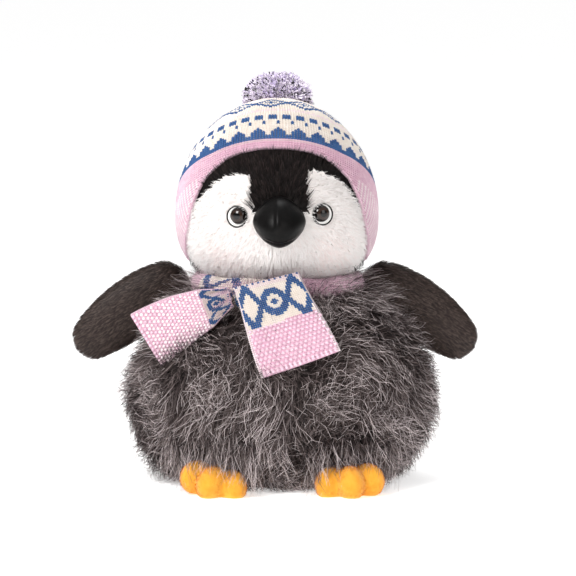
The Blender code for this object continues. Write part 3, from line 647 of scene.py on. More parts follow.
EYE_WHITE_PROFILE = [(0, 0.6), (5.2, 0.8), (6.7, 1.3), (7.0, 1.0), (7.1, 0.2), (6.6, -0.8), (0, -0.8)]
EYE_RIM_PROFILE = [(6.9, 0.9), (7.1, 1.7), (7.6, 1.9), (8.05, 1.2), (8.1, -0.4), (7.0, -0.6), (6.9, 0.9)]
EYE_DOME_RADIUS, EYE_DOME_RISE, EYE_DOME_FOOT = 6.15, 4.6, 1.2


def make_eyes():
    """On each side a white felt disc, its black rim, and a glossy dome set inwards on the disc."""
    eye_black, nodes, links, principled = shader(
        "eye_black", (0.004, 0.003, 0.003), 0.03, Specular_IOR_Level=0.45
    )
    place = nodes.new("ShaderNodeUVMap")
    place.uv_map = UV_NAME
    parts = nodes.new("ShaderNodeSeparateXYZ")
    rings = ramp(nodes, [
        (0, (0.002, 0.002, 0.002)), (0.40, (0.002, 0.002, 0.002)), (0.46, (0.026, 0.013, 0.008)),
        (0.74, (0.018, 0.009, 0.006)), (0.82, (0.002, 0.0015, 0.0015)),
    ])
    links.new(place.outputs["UV"], parts.inputs["Vector"])
    links.new(parts.outputs["Y"], rings.inputs["Fac"])
    links.new(rings.outputs["Color"], principled.inputs["Base Color"])
    eye_white = shader("eye_white", (0.86, 0.85, 0.83), 0.35, Coat_Weight=0.3)[0]
    for side, sign in SIDES.items():
        place, square = eye_point(side)
        axes = Matrix.Translation(Vector(place)) @ square.to_track_quat("Z", "Y").to_matrix().to_4x4()
        white = turned("eye_white_" + side + "_disc", EYE_WHITE_PROFILE, axes, [eye_white])
        on_body(white, "head", ["eye_white_" + side])
        rim = turned("eye_rim_" + side, EYE_RIM_PROFILE, axes, [eye_black])
        on_body(rim, "head")
        steps = [math.radians(a) for a in range(90, -1, -6)]
        dome_profile = [
            (EYE_DOME_RADIUS * math.cos(a), EYE_DOME_FOOT + EYE_DOME_RISE * math.sin(a)) for a in steps
        ]
        dome_profile += [(5.9, 0.4), (0, 0.4)]
        inwards = Matrix.Translation((-sign * 1.3 * MM, 0.75 * MM, 0))
        dome = turned("eye_dome_" + side, dome_profile, axes @ inwards, [eye_black])
        on_body(dome, "head", ["eye_" + side])


def turned(name, profile, matrix, materials, steps=48):
    """A profile of (radius, height) in millimetres turned about the matrix's Z axis. v runs outwards."""
    profile = np.array(profile) * MM
    angles = np.linspace(0, 2 * math.pi, steps, endpoint=False)
    rings = len(profile)
    points = np.empty((rings, steps, 3))
    points[..., 0] = profile[:, :1] * np.cos(angles)
    points[..., 1] = profile[:, :1] * np.sin(angles)
    points[..., 2] = profile[:, 1:]
    world = np.array(matrix)
    points = points.reshape(-1, 3) @ world[:3, :3].T + world[:3, 3]
    reach = np.repeat(profile[:, 0] / profile[:, 0].max(), steps)
    uv = np.column_stack([np.tile(np.linspace(0.02, 0.98, steps), rings), 0.01 + 0.98 * reach])
    quads = ring_quads(np.arange(rings * steps).reshape(rings, steps))
    return merged(new_piece(name, points, quads, materials, uv=uv))


def merged(piece):
    """Joins points that lie together, drops what has no area and turns the faces outwards."""
    shape = bmesh.new()
    shape.from_mesh(piece.data)
    bmesh.ops.remove_doubles(shape, verts=shape.verts, dist=SHELL_MERGE)
    bmesh.ops.dissolve_degenerate(shape, edges=shape.edges, dist=SHELL_MERGE / 10)
    bmesh.ops.recalc_face_normals(shape, faces=shape.faces)
    shape.to_mesh(piece.data)
    shape.free()
    piece.data.shade_smooth()
    return piece


BEAK_HALF = np.array([18.9, 22, 18]) * MM


def beak_place(d):
    """A blunt rhombus with a fold left of its middle, a drooping tip and a parting low on its sides."""
    blunt = 1.7
    face = (np.abs(d[:, 0]) ** blunt + np.abs(d[:, 2]) ** blunt) ** (1 / blunt)
    flat = np.hypot(d[:, 0], d[:, 2])
    pull = np.where(flat > 1e-6, flat / np.maximum(face, 1e-6), 1)
    pull = 1 + (pull - 1) * smooth(flat * 1.2)
    placed = np.column_stack([d[:, 0] * pull, d[:, 1], d[:, 2] * pull]) * BEAK_HALF
    ahead = np.clip(-d[:, 1], 0, 1)
    placed[:, 2] -= 5.5 * MM * ahead**1.5
    placed[:, 0] *= 1 - 0.12 * ahead
    right_of_fold = smooth((d[:, 0] + 0.20) / 0.09) * np.exp(-(((d[:, 0] + 0.15) / 0.5) ** 2))
    placed[:, 1] -= 1.9 * MM * right_of_fold * smooth(ahead * 1.6) * smooth((d[:, 2] + 0.25) * 1.6)
    parting = np.exp(-(((d[:, 2] + 0.60) / 0.055) ** 2)) * smooth(ahead * 2)
    placed += -d * column(parting) * 1.1 * MM
    return placed + BEAK_CENTRE


def make_beak():
    directions, faces = BALL_5
    skin = new_piece("beak_skin", beak_place(directions), faces, [BEAK_FELT])
    on_body(skin, "head", ["beak_upper", "beak_lower", "beak_stuffing"])


# ---------------------------------------------------------------- knit

TIP_A, TIP_B = (0.50, -0.35, 0.25), (0.10, 0.98, 0.55)
LOBE = np.array([
    TIP_A, TIP_B, (0.08, 0.42, 0.3), (0.27, 0.33, 1.0), (0.50, 0.24, 0.3), (0.28, 0.33, -0.4)
])
BUMP = np.array([
    (-0.08, 0.5, 0.1), (1.08, 0.5, 0.1), (0.5, -0.02, 0.3),
    (0.5, 0.5, 1.25), (0.5, 1.02, 0.3), (0.5, 0.5, -0.3),
])
PAD = BUMP * np.array([1.5, 1.5, 0.7]) - np.array([0.25, 0.25, 0])
LOBE_FACES = np.array([
    (0, 2, 3), (0, 3, 4), (0, 4, 5), (0, 5, 2), (1, 3, 2), (1, 4, 3), (1, 5, 4), (1, 2, 5)
])


STITCHES = {
    "vee": [(LOBE, LOBE_FACES), (LOBE * np.array([-1, 1, 1]) + np.array([1, 0, 0]), LOBE_FACES[:, ::-1])],
    "bump": [(BUMP, LOBE_FACES)],
    "pad": [(PAD, LOBE_FACES)],
}


def stitches(cells, kind):
    """Local points (column, row, height) and triangles of stitches. cells has column, row, width, rows."""
    local, faces = [], []
    for shape, triangles in STITCHES[kind]:
        start = sum(len(block) for block in local)
        points = np.repeat(shape[None], len(cells), axis=0)
        points[..., 0] = points[..., 0] * cells[:, None, 2] + cells[:, None, 0]
        points[..., 1] = points[..., 1] * cells[:, None, 3] + cells[:, None, 1]
        local.append(points.reshape(-1, 3))
        offsets = start + np.arange(len(cells))[:, None, None] * len(shape)
        faces.append((triangles[None] + offsets).reshape(-1, 3))
    return np.concatenate(local), np.concatenate(faces)


def knit_piece(name, place, batches, columns, rows, height):
    """batches are (cells, colour of each cell, kind). place(u, v, h) gives points for shares u and v."""
    all_local, all_faces, all_slots = [], [], []
    start = 0
    for cells, colours, kind in batches:
        local, faces = stitches(cells, kind)
        all_slots.append(np.tile(np.repeat(colours, len(LOBE_FACES)), len(STITCHES[kind])))
        all_local.append(local)
        all_faces.append(faces + start)
        start += len(local)
    local = np.concatenate(all_local)
    u, v = local[:, 0] / columns, local[:, 1] / rows
    points = place(u, v, local[:, 2] * height)
    uv = np.column_stack([np.clip(u, 0, 1), np.clip(v / max(1.0, v.max()), 0, 1)])
    faces, slots = np.concatenate(all_faces), np.concatenate(all_slots)
    return new_piece(name, points, faces, list(YARN_MATERIALS.values()), uv=uv, slots=slots)


def plain(cells, name, kind="bump"):
    """A batch of stitches that are all in one colour."""
    return cells, np.full(len(cells), yarn(name)), kind


def with_pads(cells, colours):
    """Stitches in these colours, with blue yarn carried behind the blue ones, so that no ground shows."""
    blue = colours == yarn("blue")
    return [(cells, colours, "vee"), (cells[blue], colours[blue], "pad")]


def grid_cells(columns, rows, width=1, first_row=0, tall=1):
    c, r = np.meshgrid(np.arange(0, columns, width), np.arange(first_row, rows, tall), indexing="ij")
    sizes = np.broadcast_to([width, tall], (c.size, 2))
    return np.column_stack([c.ravel(), r.ravel(), sizes]).astype(float)


def yarn(name):
    return YARN_NAMES.index(name)


# ---------------------------------------------------------------- hat

POLE = math.radians(41)           # how far the crown's gathered top lies behind the head's own top
POLE_AXIS = np.array([0, math.sin(POLE), math.cos(POLE)])
FRONT_AXIS = np.array([0, -math.cos(POLE), math.sin(POLE)])
HAT_OUT = 3.0 * MM                # the shell's outer face, from the head
HAT_IN = 0.9 * MM                 # its inner face
# The crown's lower edge and the rim, in degrees from the pole, at turns in degrees from the front
TURNS_AT = np.array([0, 40, 80, 100, 115, 135, 180])
CROWN_EDGE = np.array([86.2, 85.4, 79.8, 71, 65, 57, 47])
RIM_AT = np.array([0, 20, 30, 37, 46, 59, 76, 92, 108, 120, 129, 138, 150, 180])
RIM_EDGE = np.array([91.4, 91.4, 92.2, 94.3, 97, 104, 114.5, 120.5, 123, 118, 103, 79, 66, 56])
BAND_ROW = 1.35                   # degrees of one row of the band
HAT_COLUMNS, CROWN_ROWS = 216, 66
NEAR_POLE = ((2, 9, 8), (9, 18, 4), (18, 34, 2))   # rows from and to, and the width of their stitches
FULL_ROWS_FROM = 34
BAND_ROWS, FLAP_FIRST_ROW, FLAP_TURN = 60, 7, 52
HAT_STITCH = 1.35 * MM            # how proud a stitch stands
RIM_STITCHES = 420


def head_direction(points):
    """The direction from the head's centre to each point, on a ball that stands for the head."""
    local = points - HEAD_CENTRE
    tall = np.where(local[:, 2] > 0, HEAD_UP, HEAD_DOWN)
    return unit(np.column_stack([local[:, :2] / HEAD_HALF, local[:, 2] / tall]))


def hat_share(points):
    """How far each point on the head is from the hat's pole, as a share of the way to its rim."""
    d = head_direction(points)
    polar = np.degrees(np.arccos(np.clip(d @ POLE_AXIS, -1, 1)))
    turn = np.degrees(np.arctan2(np.abs(d[:, 0]), d @ FRONT_AXIS))
    return polar / np.interp(turn, RIM_AT, RIM_EDGE)


def tuck_under_hat(points):
    """Pulls points that are under the hat back to the head, so that no hair comes through the knit."""
    covered = hat_share(points) < 0.995
    pulled = points.copy()
    pulled[covered] = head_place(head_direction(points)[covered], 0.4 * MM)
    return pulled


def hat_surface(polar, turn, out):
    """Points of the hat, with polar and turn in degrees and out from the head in metres."""
    a, b = np.radians(polar), np.radians(turn)
    d = (
        column(np.cos(a)) * POLE_AXIS
        + column(np.sin(a) * np.cos(b)) * FRONT_AXIS
        + column(np.sin(a) * np.sin(b)) * np.array([1.0, 0, 0])
    )
    placed = head_place(d)
    middle = HEAD_CENTRE + np.array([0, 0, 4 * MM])
    return placed + unit((placed - middle) * np.array([1, 1.25, 0.85])) * column(out)


def crown_edge(turn):
    return np.interp(np.abs(turn), TURNS_AT, CROWN_EDGE)


def rim_edge(turn):
    return np.interp(np.abs(turn), RIM_AT, RIM_EDGE)


def crown_place(u, v, h):
    """u goes once round from the back, v from the pole to the patterned crown's lower edge."""
    turn = u * 360 - 180
    return hat_surface(np.maximum(v, 0.02) * crown_edge(turn), turn, h + HAT_OUT)


def band_place(u, v, h):
    """v counts rows below the patterned crown."""
    turn = u * 360 - 180
    return hat_surface(crown_edge(turn) + v * BAND_ROW, turn, h + HAT_OUT)


def crown_colour(cells):
    """The pattern, from the lower edge up: castles, blocks, a pink line and a lattice, all on cream."""
    c = cells[:, 0] + (cells[:, 2] - 1) / 2
    r = CROWN_ROWS - 1 - cells[:, 1]
    colour = np.full(len(cells), yarn("cream"))
    in_castle = np.abs((c % 7) - 3)
    colour[(r < 1.5) | ((r < 5.5) & (in_castle < 3.7 - r * 0.55))] = yarn("blue")
    colour[(r >= 11) & (r <= 13) & (c % 5 < 2.5)] = yarn("blue")
    colour[(r >= 8) & (r <= 9) & (c % 5 == 3)] = yarn("blue")
    colour[(r == 17) | ((r == 18) & (c % 2 == 0))] = yarn("pale_pink")
    colour[(r > 30) & (r % 3 == 0)] = yarn("pale_pink")
    in_lattice = np.abs((c % 14) - 7) / 7
    wave = 4.4 * (1 - in_lattice)
    height = np.abs(r - 25)
    colour[np.abs(height - wave) < 1.05] = yarn("blue")
    colour[height < 1.6 - in_lattice * 5] = yarn("blue")
    return colour


def hat_shell(name, from_edge, to_edge, material, around=160, down=26):
    """A closed shell between two edges, each in degrees from the pole for turns in degrees."""
    turn = np.linspace(-180, 180, around, endpoint=False)
    start, end = from_edge(turn), to_edge(turn)
    share = np.linspace(0, 1, down)
    polar = start[None] + (end - start)[None] * share[:, None]
    turns = np.broadcast_to(turn, polar.shape).ravel()
    layers = [hat_surface(polar.ravel(), turns, np.full(polar.size, out)) for out in (HAT_OUT, HAT_IN)]
    points = np.concatenate(layers)
    index = np.arange(2 * down * around).reshape(2 * down, around)
    index[down:] = index[down:][::-1]
    quads = ring_quads(np.concatenate([index, index[:1]]))
    return merged(new_piece(name, points, quads, [material]))


def make_hat():
    # The crown and band shells show between the stitches in grounds darkened as painted shade.
    crown = hat_shell(
        "hat_crown_shell", lambda turn: np.full(turn.shape, 0.6), lambda turn: crown_edge(turn) + 1,
        CREAM_SHADED_GROUND,
    )
    on_body(crown, "hat", ["hat_crown"])
    band = hat_shell("hat_band_shell", lambda turn: crown_edge(turn) + 1.2, rim_edge, PINK_SHADED_GROUND)
    on_body(band, "hat", ["hat_band", "hat_earflap_left", "hat_earflap_right"])

    near_pole = [grid_cells(HAT_COLUMNS, last, width, first) for first, last, width in NEAR_POLE]
    cells = np.concatenate(near_pole + [grid_cells(HAT_COLUMNS, CROWN_ROWS, 1, FULL_ROWS_FROM)])
    at_back = np.abs(cells[:, 0] / HAT_COLUMNS - 0.5) > 0.25
    for side, part in (("front", ~at_back), ("back", at_back)):
        batches = with_pads(cells[part], crown_colour(cells[part]))
        knit = knit_piece(
            "hat_crown_knit_" + side, crown_place, batches, HAT_COLUMNS, CROWN_ROWS, HAT_STITCH
        )
        on_body(knit, "hat")

    cells = grid_cells(HAT_COLUMNS, BAND_ROWS)
    turn = np.abs((cells[:, 0] + 0.5) / HAT_COLUMNS * 360 - 180)
    above_rim = crown_edge(turn) + (cells[:, 1] + 0.5) * BAND_ROW < rim_edge(turn) - 0.4
    cells, turn = cells[above_rim], turn[above_rim]
    rib = (turn > FLAP_TURN) & (cells[:, 1] > FLAP_FIRST_ROW) & (cells[:, 0] % 2 == 0)
    colours = np.where(rib, yarn("pale_pink"), yarn("pink"))
    knit = knit_piece("hat_band_knit", band_place, [(cells, colours, "vee")], HAT_COLUMNS, 1, HAT_STITCH)
    on_body(knit, "hat")
    on_body(rim_roll(), "hat")


def rim_roll():
    """The rolled edge: bumps of yarn in rings along the rim."""
    def place(u, v, h):
        turn = (u * 360 + 180) % 360 - 180
        angle = v * 2 * math.pi
        polar = rim_edge(turn) + np.cos(angle) * 0.75
        return hat_surface(polar, turn, 2.2 * MM + (1.1 * MM + h) * np.sin(angle) + h * 0.2)

    cells = grid_cells(RIM_STITCHES, 5)
    cells[:, 1] -= 1
    return knit_piece("hat_rim_roll", place, [plain(cells, "pink")], RIM_STITCHES, 8, 0.8 * MM)


POMPOM_STRANDS = 11500
POMPOM_REACH = np.array([25.5, 22.5, 22.5])        # in millimetres, before its ends are flattened
POMPOM_ROOT, POMPOM_CORE = 8 * MM, 18 * MM


def make_pompom():
    rng = np.random.default_rng(31)
    half_depth, up = HEAD_HALF[1] + 4.4 * MM, HEAD_UP + 4.4 * MM
    square = unit(np.array([0, math.sin(POLE) / half_depth, math.cos(POLE) / up]))
    seat = HEAD_CENTRE + np.array([0, half_depth * math.sin(POLE), up * math.cos(POLE)])
    centre = seat + square * 21.8 * MM
    directions, faces = BALL_5
    lilac = [YARN_MATERIALS["lilac"]]
    tie = new_piece("pompom_tie", directions * 2.2 * MM + seat + square * 2.4 * MM, faces, lilac)
    on_body(tie, "hat", ["pompom_knot"])
    core = new_piece("pompom_core", directions * POMPOM_CORE + centre, faces, lilac)
    on_body(core, "pompom", ["pompom"])
    leads = unit(rng.normal(size=(POMPOM_STRANDS, 3)))
    reach = POMPOM_REACH - 3.5 * np.abs(square)
    ends = np.linalg.norm(leads * reach, axis=1) * MM
    lengths = ends * rng.uniform(0.90, 1.03, POMPOM_STRANDS) - POMPOM_ROOT
    roots = centre + leads * POMPOM_ROOT
    widths = rng.uniform(0.9, 1.3, POMPOM_STRANDS) * MM
    made = strands(
        roots, leads, leads, lengths, widths, rng, 3, bend=0.08 * rng.normal(size=roots.shape), curl=0.03,
        turns=2, clump=0.35, leaders=700, taper=-0.3, softness=0.1, loose=0.1,
    )
    fur_piece("pompom_yarn", "pompom", POMPOM_YARN, made)


# ---------------------------------------------------------------- scarf

FRONT_TAIL_TOP = np.array([-10.5, -67, 151]) * MM
FRONT_TAIL_WIDTHS = (46 * MM, 57 * MM)
FRONT_TAIL_LEAN = math.radians(23.5)      # how far the tail itself runs sideways
FRONT_TAIL_TILTS = (math.radians(14), math.radians(19.5))   # of its top edge and its hem
FRONT_TAIL_SLOPES = (math.radians(48), math.radians(80))
SIDE_TAIL_ROOT = np.array([-38, -71, 137]) * MM
SIDE_TAIL_START = -2 * MM                # where the tail begins, measured from its joint
SIDE_TAIL_AT = np.array([-2, 6, 16, 40, 70]) * MM
SIDE_TAIL_WIDTHS = np.array([10, 17, 27, 36, 43]) * MM
SIDE_TAIL_HEADING = math.radians(200)
SIDE_TAIL_DIP = math.radians(27)
SIDE_TAIL_TWIST = math.radians(20)
TAIL_CLOTH = 1.6 * MM
WRAP_COLUMNS, WRAP_ROWS = 176, 26
WRAP_FIGURED_FROM, WRAP_FIGURED_TO = 205, 262      # degrees round the neck
FUZZ_STRANDS = 5200
KNOT_CENTRE = np.array([-25, -60.5, 138]) * MM
KNOT_HALF = np.array([7, 4.4, 8]) * MM
KNOT_CORE_HALF = np.array([6.6, 4.1, 7.6]) * MM
KNOT_COLUMNS, KNOT_ROWS = 24, 16


def front_tail(u, v, h):
    """u across and v down the tail, both as shares; h stands off its outer face."""
    start, end = FRONT_TAIL_SLOPES
    radius = TAIL_LENGTH / (end - start)
    slope = start + v * TAIL_LENGTH / radius
    width = FRONT_TAIL_WIDTHS[0] + (FRONT_TAIL_WIDTHS[1] - FRONT_TAIL_WIDTHS[0]) * smooth(v)
    cup = 2.2 * MM * (2 * u - 1) ** 2 + 0.8 * MM * np.sin(v * 9 + u * 4)
    ahead = radius * (np.sin(slope) - math.sin(start)) + h * np.sin(slope) - cup
    drop = radius * (math.cos(start) - np.cos(slope)) - h * np.cos(slope)
    across = (u - 0.5) * width
    tilt = FRONT_TAIL_TILTS[0] + (FRONT_TAIL_TILTS[1] - FRONT_TAIL_TILTS[0]) * v
    x = across * np.cos(tilt) + drop * math.sin(FRONT_TAIL_LEAN)
    z = across * np.sin(tilt) - drop * math.cos(FRONT_TAIL_LEAN)
    return np.column_stack([x, -ahead, z]) + FRONT_TAIL_TOP


def side_tail(u, v, h):
    """As front_tail. The tail leaves the knot in pleats and opens out flat."""
    along = SIDE_TAIL_START + v * (TAIL_LENGTH - SIDE_TAIL_START)
    share = np.clip(along / TAIL_LENGTH, 0, 1)
    heading = np.array([math.cos(SIDE_TAIL_HEADING), -math.sin(SIDE_TAIL_HEADING), 0])
    dip = SIDE_TAIL_DIP * (0.7 + 0.3 * share)
    forward = column(np.cos(dip)) * heading + column(np.sin(dip)) * np.array([0, 0, -1.0])
    level = unit(np.cross(heading, np.array([0, 0, 1.0])))
    upright = unit(np.cross(forward, level))
    upright *= np.sign(upright[:, 2:])
    twist = SIDE_TAIL_TWIST * share
    out = np.cross(upright, forward)
    out *= np.where(out[:, 1:2] > 0, -1, 1)
    turned_up = upright * column(np.cos(twist)) + out * column(np.sin(twist))
    turned_out = out * column(np.cos(twist)) - upright * column(np.sin(twist))
    width = np.interp(along, SIDE_TAIL_AT, SIDE_TAIL_WIDTHS)
    pleats = 2.0 * MM * np.cos(u * 5 * math.pi) * smooth(1 - share * 3)
    wave = 1.2 * MM * np.sin(share * 5) + 3.0 * MM * u * share
    placed = SIDE_TAIL_ROOT + forward * column(along) + turned_up * column((0.5 - u) * width)
    placed[:, 2] += 5 * MM * smooth((18 * MM - along) / (28 * MM)) * (1 - u)
    return placed + turned_out * column(h + wave + pleats)


def strip(name, place, material, thickness, across=16, down=30):
    """A closed sheet that follows place, thickness deep behind its outer face."""
    u, v = np.meshgrid(np.linspace(0, 1, across), np.linspace(0, 1, down), indexing="ij")
    faces_of = [place(u.ravel(), v.ravel(), np.full(u.size, h)) for h in (0.0, -thickness)]
    points = np.concatenate(faces_of)
    index = np.arange(across * down).reshape(across, down)
    quads = np.stack([index[:-1, :-1], index[1:, :-1], index[1:, 1:], index[:-1, 1:]], axis=2).reshape(-1, 4)
    back = quads[:, ::-1] + across * down
    edge = np.concatenate([index[:, 0], index[-1, 1:], index[::-1, -1][1:], index[0, ::-1][1:-1]])
    after = np.roll(edge, -1)
    sides = np.stack([edge, after, after + across * down, edge + across * down], axis=1)
    return merged(new_piece(name, points, np.concatenate([quads, back, sides]), [material]))


def scarf_pattern(c, r, columns, rows):
    """The figured rows: a pale edge, then blue lozenges with an eye in the middle one, on cream."""
    colour = np.full(len(c), yarn("cream"))
    colour[r < rows * 0.13] = yarn("pale_pink")
    colour[(r < 1) & (c % 3 == 0)] = yarn("blue")
    x = np.abs(c - (columns - 1) / 2) / columns
    y = (r - rows * 0.52) / rows
    ring = np.hypot(x / 0.16, y / 0.25)
    colour[np.abs(ring - 1) < 0.3] = yarn("blue")
    colour[x * columns + np.abs(y) * rows < 2.1] = yarn("blue")
    beside = np.abs(x - 0.37) / 0.17 + np.abs(y) / 0.48
    colour[np.abs(beside - 1) < 0.27] = yarn("blue")
    return colour


def end_to_end(place, share):
    """The point on a tail's middle line at that share of its length."""
    return place(np.array([0.5]), np.array([share]), 0.0)[0]


def make_tail(name, place, pattern_rows, columns, rows, node, checked):
    """A tail: figured rows, then bumps to the hem. checked bumps are in two pinks all the way down."""
    # The tail's cloth shows between the stitches in grounds darkened as painted shade.
    ground = PINK_SHADED_GROUND if checked else CREAM_SHADED_GROUND
    base = strip(name + "_cloth", place, ground, TAIL_CLOTH)
    base.data.materials.append(PINK_SHADED_GROUND)
    pattern_end = end_to_end(place, pattern_rows / rows)
    along = end_to_end(place, 1.0) - end_to_end(place, 0.0)
    centres = np.empty(len(base.data.polygons) * 3)
    base.data.polygons.foreach_get("center", centres)
    below_pattern = (centres.reshape(-1, 3) - pattern_end) @ along > 0
    base.data.polygons.foreach_set("material_index", below_pattern.astype(np.int32))

    cells = grid_cells(columns, pattern_rows)
    figured = with_pads(cells, scarf_pattern(cells[:, 0], cells[:, 1], columns, pattern_rows))
    bumps = grid_cells(columns - 1, rows - 2, 2, pattern_rows, 2)
    bumps[:, 0] += ((bumps[:, 1] - pattern_rows) / 2) % 2
    if checked:
        light = (bumps[:, 0] // 2 + bumps[:, 1] // 2) % 3 > 0
        colours = np.where(light, yarn("pale_pink"), yarn("rose"))
    else:
        light = (bumps[:, 1] < pattern_rows + 10) & (bumps[:, 0] // 2 % 2 == 0)
        colours = np.where(light, yarn("pink"), yarn("rose"))
    hem = plain(grid_cells(columns - 1, rows, 2, rows - 2, 2), "pink")
    batches = figured + [(bumps, colours, "bump"), hem]
    front = knit_piece(name + "_stitches", place, batches, columns, rows, 1.2 * MM)
    behind = knit_piece(
        name + "_back_stitches", lambda u, v, h: place(u, v, -TAIL_CLOTH - h),
        [plain(grid_cells(columns - 1, rows, 2, 0, 2), "pale_pink")], columns, rows, 0.9 * MM,
    )
    behind.data.flip_normals()
    edge = edge_roll(name + "_edge", place, rows, "pink" if checked else "pale_pink")
    for piece in (base, front, behind, edge):
        on_body(piece, name)
    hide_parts(node)


def edge_roll(name, place, rows, colour):
    """The two selvedges: knots of yarn that wrap round each side of a tail."""
    def roll(u, v, h):
        angle = (u % 0.5) * 4 * math.pi
        side = np.where(u < 0.5, 0.0, 1.0)
        sign = np.where(side > 0, 1, -1)
        reach = 0.9 * MM + h
        flat_u = side + sign * reach * np.cos(angle) / (50 * MM)
        return place(flat_u, v, reach * np.sin(angle) * 1.1 - 0.8 * MM)

    return knit_piece(name, roll, [plain(grid_cells(8, rows), colour)], 8, rows, 0.7 * MM)


def wrap_place(u, v, h):
    """u goes once round the neck, v over the outside of the rolled band from its top to its lower edge."""
    turn = u * 2 * math.pi
    angle = math.radians(160) - v * math.radians(320)
    radius = WRAP_RADIUS - 0.6 * MM + h + 0.5 * MM * np.sin(turn * 9 + v * 3)
    out = radius * np.cos(angle)
    x = (WRAP_HALF[0] + out) * np.cos(turn)
    y = (WRAP_HALF[1] + out) * np.sin(turn)
    return np.column_stack([x, y, radius * np.sin(angle)]) + np.array([HEAD_CENTRE[0], 0, WRAP_Z])


def knot_place(u, v, h):
    a, b = u * 2 * math.pi, (v - 0.5) * math.pi
    d = np.column_stack([np.cos(a) * np.cos(b), np.sin(a) * np.cos(b), np.sin(b)])
    fold = 1 + 0.10 * np.sin(a * 3 + b * 2)
    return d * (KNOT_HALF * column(fold) + column(h)) + KNOT_CENTRE


def make_wrap():
    """The band round the neck, its fuzz and the knot in front."""
    # The wrap's cloth shows between the stitches in pink darkened as painted shade.
    base = strip("scarf_wrap_cloth", wrap_place, PINK_SHADED_GROUND, 1.4 * MM, 120, 18)
    cells = grid_cells(WRAP_COLUMNS, WRAP_ROWS)
    turn = cells[:, 0] / WRAP_COLUMNS * 360
    figured = (turn > WRAP_FIGURED_FROM) & (turn < WRAP_FIGURED_TO)
    band = np.abs(((cells[:, 0] + cells[:, 1] * 0.5) % 14) - 7)
    blue = figured & (np.abs(band - np.abs((cells[:, 1] % 12) - 6)) < 1.8)
    colours = np.where(blue, yarn("blue"), np.where(figured, yarn("cream"), yarn("pink")))
    batches = [(cells, colours, "vee")]
    knit = knit_piece("scarf_wrap_stitches", wrap_place, batches, WRAP_COLUMNS, WRAP_ROWS, 1.1 * MM)
    on_body(base, "body", ["scarf_wrap"])
    on_body(knit, "body")

    rng = np.random.default_rng(3)
    u, v = rng.random(FUZZ_STRANDS), rng.uniform(0.05, 0.95, FUZZ_STRANDS)
    roots = wrap_place(u, v, np.full(FUZZ_STRANDS, 0.8 * MM))
    normals = unit(wrap_place(u, v, np.full(FUZZ_STRANDS, 2 * MM)) - roots)
    leads = unit(normals + 0.7 * rng.normal(size=roots.shape))
    lengths = rng.uniform(1.5, 3.2, FUZZ_STRANDS) * MM
    made = strands(roots, normals, leads, lengths, np.full(FUZZ_STRANDS, 0.16 * MM), rng, 2, softness=0.6)
    fuzz = fur_piece("scarf_wrap_fuzz", "body", SCARF_FUZZ, made)

    cells = grid_cells(KNOT_COLUMNS, KNOT_ROWS)
    blue = (cells[:, 0] + cells[:, 1]) % 8 < 4
    batches = [(cells, np.where(blue, yarn("blue"), yarn("cream")), "vee")]
    knot_knit = knit_piece("scarf_knot_stitches", knot_place, batches, KNOT_COLUMNS, KNOT_ROWS, 0.9 * MM)
    directions, faces = BALL_5
    # The knot's core shows between the stitches in cream darkened as painted shade.
    knot = new_piece("scarf_knot_cloth", directions * KNOT_CORE_HALF + KNOT_CENTRE, faces, [CREAM_SHADED_GROUND])
    on_body(knot, "body", ["scarf_knot"])
    on_body(knot_knit, "body")


def make_scarf():
    make_wrap()
    make_tail(
        "scarf_front", front_tail, 23, 34, 46, "scarf_tail_front",
        checked=False,
    )
    make_tail(
        "scarf_side", side_tail, 14, 28, 50, "scarf_tail_side",
        checked=True,
    )


# ---------------------------------------------------------------- wings and feet

def make_wing(side):
    sign = SIDES[side]
    rng = np.random.default_rng(41 + sign)
    directions, faces = BALL_5
    points = wing_place(directions, sign)
    skin = new_piece("wing_skin_" + side, points, faces, [DARK_CLOTH])
    nodes = [f"wing_{side}_{part}" for part in ("front", "back", "stuffing")]
    on_body(skin, "wing_" + side, nodes)
    roots, normals = scatter(points, faces, 22000, rng)
    root, tip = wing_axis(sign)
    flow = comb(normals, tip - root)
    leads = unit(normals * 0.42 + flow * 0.85 + messy_comb(normals, rng) * 0.12)
    grow(
        "wing_fur_" + side, "wing_" + side, "short_pile_brown", WING_FUR, (roots, normals), leads, (3.4, 5.6),
        (0.4, 0.6), rng, 2, bend=flow * 0.2, clump=0.15, leaders=900, softness=0.8,
    )


FOOT_OUT = {"left": 47 * MM, "right": 44 * MM}
FOOT_Y = -78 * MM
FOOT_SPLAY = {"left": math.radians(8), "right": math.radians(20)}
FOOT_ROLL = {"left": math.radians(4), "right": math.radians(13)}   # lifts the outer toe a little
BALL_Z, SOLE_Z = 9.5 * MM, 0.25 * MM
# Each toe's turn in degrees, its reach from the ankle and its half sizes in millimetres
TOES = [(-43, 20, (9.6, 13, 12.4)), (0, 21, (10.4, 15, 12.8)), (43, 20, (9.6, 13, 12.4))]


def foot_balls(side):
    """Matrices of the balls that a foot is rounded from: the heel and three toes."""
    sign = SIDES[side]
    turned_foot = Matrix.Translation((sign * FOOT_OUT[side], FOOT_Y, 0))
    turned_foot = turned_foot @ Matrix.Rotation(sign * FOOT_SPLAY[side], 4, "Z")
    turned_foot = turned_foot @ Matrix.Rotation(-sign * FOOT_ROLL[side], 4, "Y")
    heel = Matrix.Translation((0, 3 * MM, BALL_Z)) @ Matrix.Diagonal((16 * MM, 18 * MM, 12 * MM, 1))
    found = [turned_foot @ heel]
    for fan, reach, half in TOES:
        toe = Matrix.Translation((0, -reach * MM, BALL_Z)) @ Matrix.Diagonal((*(h * MM for h in half), 1))
        found.append(turned_foot @ Matrix.Rotation(math.radians(fan), 4, "Z") @ toe)
    return found


def evaluated_mesh(obj):
    """The object's mesh with its modifiers applied, in place of the old one."""
    bpy.context.view_layer.update()
    graph = bpy.context.evaluated_depsgraph_get()
    mesh = bpy.data.meshes.new_from_object(obj.evaluated_get(graph))
    obj.modifiers.clear()
    obj.data = mesh
    return mesh


